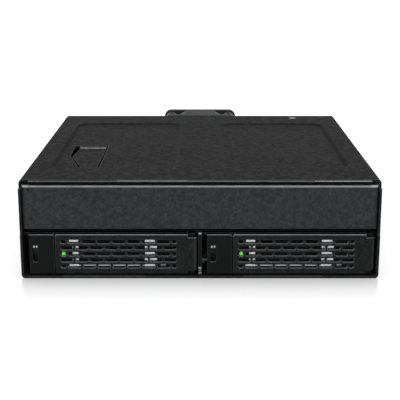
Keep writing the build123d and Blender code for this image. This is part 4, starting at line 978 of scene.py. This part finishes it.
WHITE = (1.0, 1.0, 1.0, 1.0)
FLOOR_SIZE = 6.0
FLOOR_CLOUD = (3.0, 2.0)
FLOOR_TONES = ((0.3, 0.86), (0.7, 0.88))
FLOOR_ROUGHNESS = (0.55, 0.6)
FLOOR_SPECULAR = 0.1
FOOTPRINT_X = cad_box[1][0]
FOOTPRINT_FRONT = cad_box[0][1]
FOOTPRINT_REAR = cad_box[1][1]
# Mirror of the floor beside the object, and glow of the floor, weaker near the object as a painted shade
# round its footprint and rising to the plain white farther out
MIRROR_REACH = 0.042
MIRROR_SHARE = 0.37
MIRROR_ROUGHNESS = 0.16
SHADOW_REACH = (0.02, 0.30)
FLOOR_GLOW = (0.39, 1.0)


def seen_rays(tree):
    """1 for camera, mirror and glass rays, which see the plain white studio."""
    path = tree.nodes.new("ShaderNodeLightPath")
    seen = path.outputs["Is Camera Ray"]
    for ray in ("Is Glossy Ray", "Is Transmission Ray"):
        either = tree.nodes.new("ShaderNodeMath")
        either.operation = "MAXIMUM"
        tree.links.new(seen, either.inputs[0])
        tree.links.new(path.outputs[ray], either.inputs[1])
        seen = either.outputs["Value"]
    return seen


def floor_material():
    """White studio floor, faintly mirror-like close to the object."""
    g = Graph("studio_floor")
    cloud = g.noise(*FLOOR_CLOUD)
    x, y, _ = g.axes_of(g.coords)
    off_side = g.math("SUBTRACT", g.math("ABSOLUTE", x), FOOTPRINT_X)
    off_front = g.math("SUBTRACT", FOOTPRINT_FRONT, y)
    off_rear = g.math("SUBTRACT", y, FOOTPRINT_REAR)
    off = g.math("MAXIMUM", g.math("MAXIMUM", off_side, off_front), off_rear)
    near = g.spread(off, MIRROR_SHARE, 0.0, 0.0, MIRROR_REACH)
    tones = g.ramp(cloud, FLOOR_TONES)
    g.finish(tones, g.spread(cloud, *FLOOR_ROUGHNESS), Specular_IOR_Level=FLOOR_SPECULAR)
    glow = g.node("Emission", Color=WHITE)
    # Weaker glow near the footprint: painted shade round the object
    g.link(g.spread(off, *FLOOR_GLOW, *SHADOW_REACH), glow.inputs["Strength"])
    lit = g.node("AddShader")
    seen = g.node("MixShader")
    mirror = g.node("BsdfGlossy", Color=WHITE, Roughness=MIRROR_ROUGHNESS)
    polished = g.node("MixShader")
    g.link(g.shader.outputs["BSDF"], lit.inputs[0])
    g.link(glow.outputs["Emission"], lit.inputs[1])
    g.link(seen_rays(g.tree), seen.inputs["Fac"])
    g.link(g.shader.outputs["BSDF"], seen.inputs[1])
    g.link(lit.outputs["Shader"], seen.inputs[2])
    g.link(near, polished.inputs["Fac"])
    g.link(seen.outputs["Shader"], polished.inputs[1])
    g.link(mirror.outputs["BSDF"], polished.inputs[2])
    g.link(polished.outputs["Shader"], g.out.inputs["Surface"])
    return g.mat


bpy.ops.mesh.primitive_plane_add(size=FLOOR_SIZE, location=(0, 0, 0))
floor = bpy.context.object
floor.name = "studio_floor"
floor.data.materials.append(floor_material())

# Strength of the white studio for the light it gives, and as the camera and mirrors see it
WORLD_LIGHT = 0.35
WORLD_SEEN = 1.0

world = bpy.data.worlds.new("studio")
bpy.context.scene.world = world
world.use_nodes = True
tree = world.node_tree
tree.nodes.clear()
mixed = tree.nodes.new("ShaderNodeMixShader")
tree.links.new(seen_rays(tree), mixed.inputs["Fac"])
for socket, strength in zip(mixed.inputs[1:], (WORLD_LIGHT, WORLD_SEEN)):
    background = tree.nodes.new("ShaderNodeBackground")
    background.inputs["Color"].default_value = WHITE
    background.inputs["Strength"].default_value = strength
    tree.links.new(background.outputs["Background"], socket)
world_out = tree.nodes.new("ShaderNodeOutputWorld")
tree.links.new(mixed.outputs["Shader"], world_out.inputs["Surface"])

# Softboxes: name, place, target, size and power in watts
SOFTBOXES = (
    ("top_light", (0.0, 0.05, 0.8), (0.0, 0.05, 0.0), (0.6, 0.4), 3.6),
    ("front_light", (0.0, -0.9, 0.26), (0.0, 0.0, 0.02), (0.8, 0.3), 4.3),
)


def softbox(name, place, target, size, power):
    """Soft rectangular light that is aimed at a target."""
    data = bpy.data.lights.new(name, "AREA")
    data.shape = "RECTANGLE"
    data.size, data.size_y = size
    data.energy = power
    lamp = bpy.data.objects.new(name, data)
    bpy.context.collection.objects.link(lamp)
    lamp.location = place
    aim = Vector(target) - Vector(place)
    lamp.rotation_euler = aim.to_track_quat("-Z", "Y").to_euler()


for settings in SOFTBOXES:
    softbox(*settings)

# Camera: fitted to the photograph on the width of the cage

CAMERA_PLACE = (0.0, -0.3763, 0.1343)
CAMERA_TILT = 15.04
FOCAL_PIXELS = 972.3
FRAME_PIXELS = 400
SENSOR_WIDTH = 36.0
CLIP_START = 0.01

camera = bpy.data.objects.new("camera", bpy.data.cameras.new("camera"))
bpy.context.collection.objects.link(camera)
camera.location = CAMERA_PLACE
camera.rotation_euler = (math.radians(90.0 - CAMERA_TILT), 0.0, 0.0)
camera.data.sensor_width = SENSOR_WIDTH
camera.data.lens = FOCAL_PIXELS / FRAME_PIXELS * SENSOR_WIDTH
camera.data.clip_start = CLIP_START
bpy.context.scene.camera = camera

bpy.context.scene.view_settings.view_transform = "Standard"
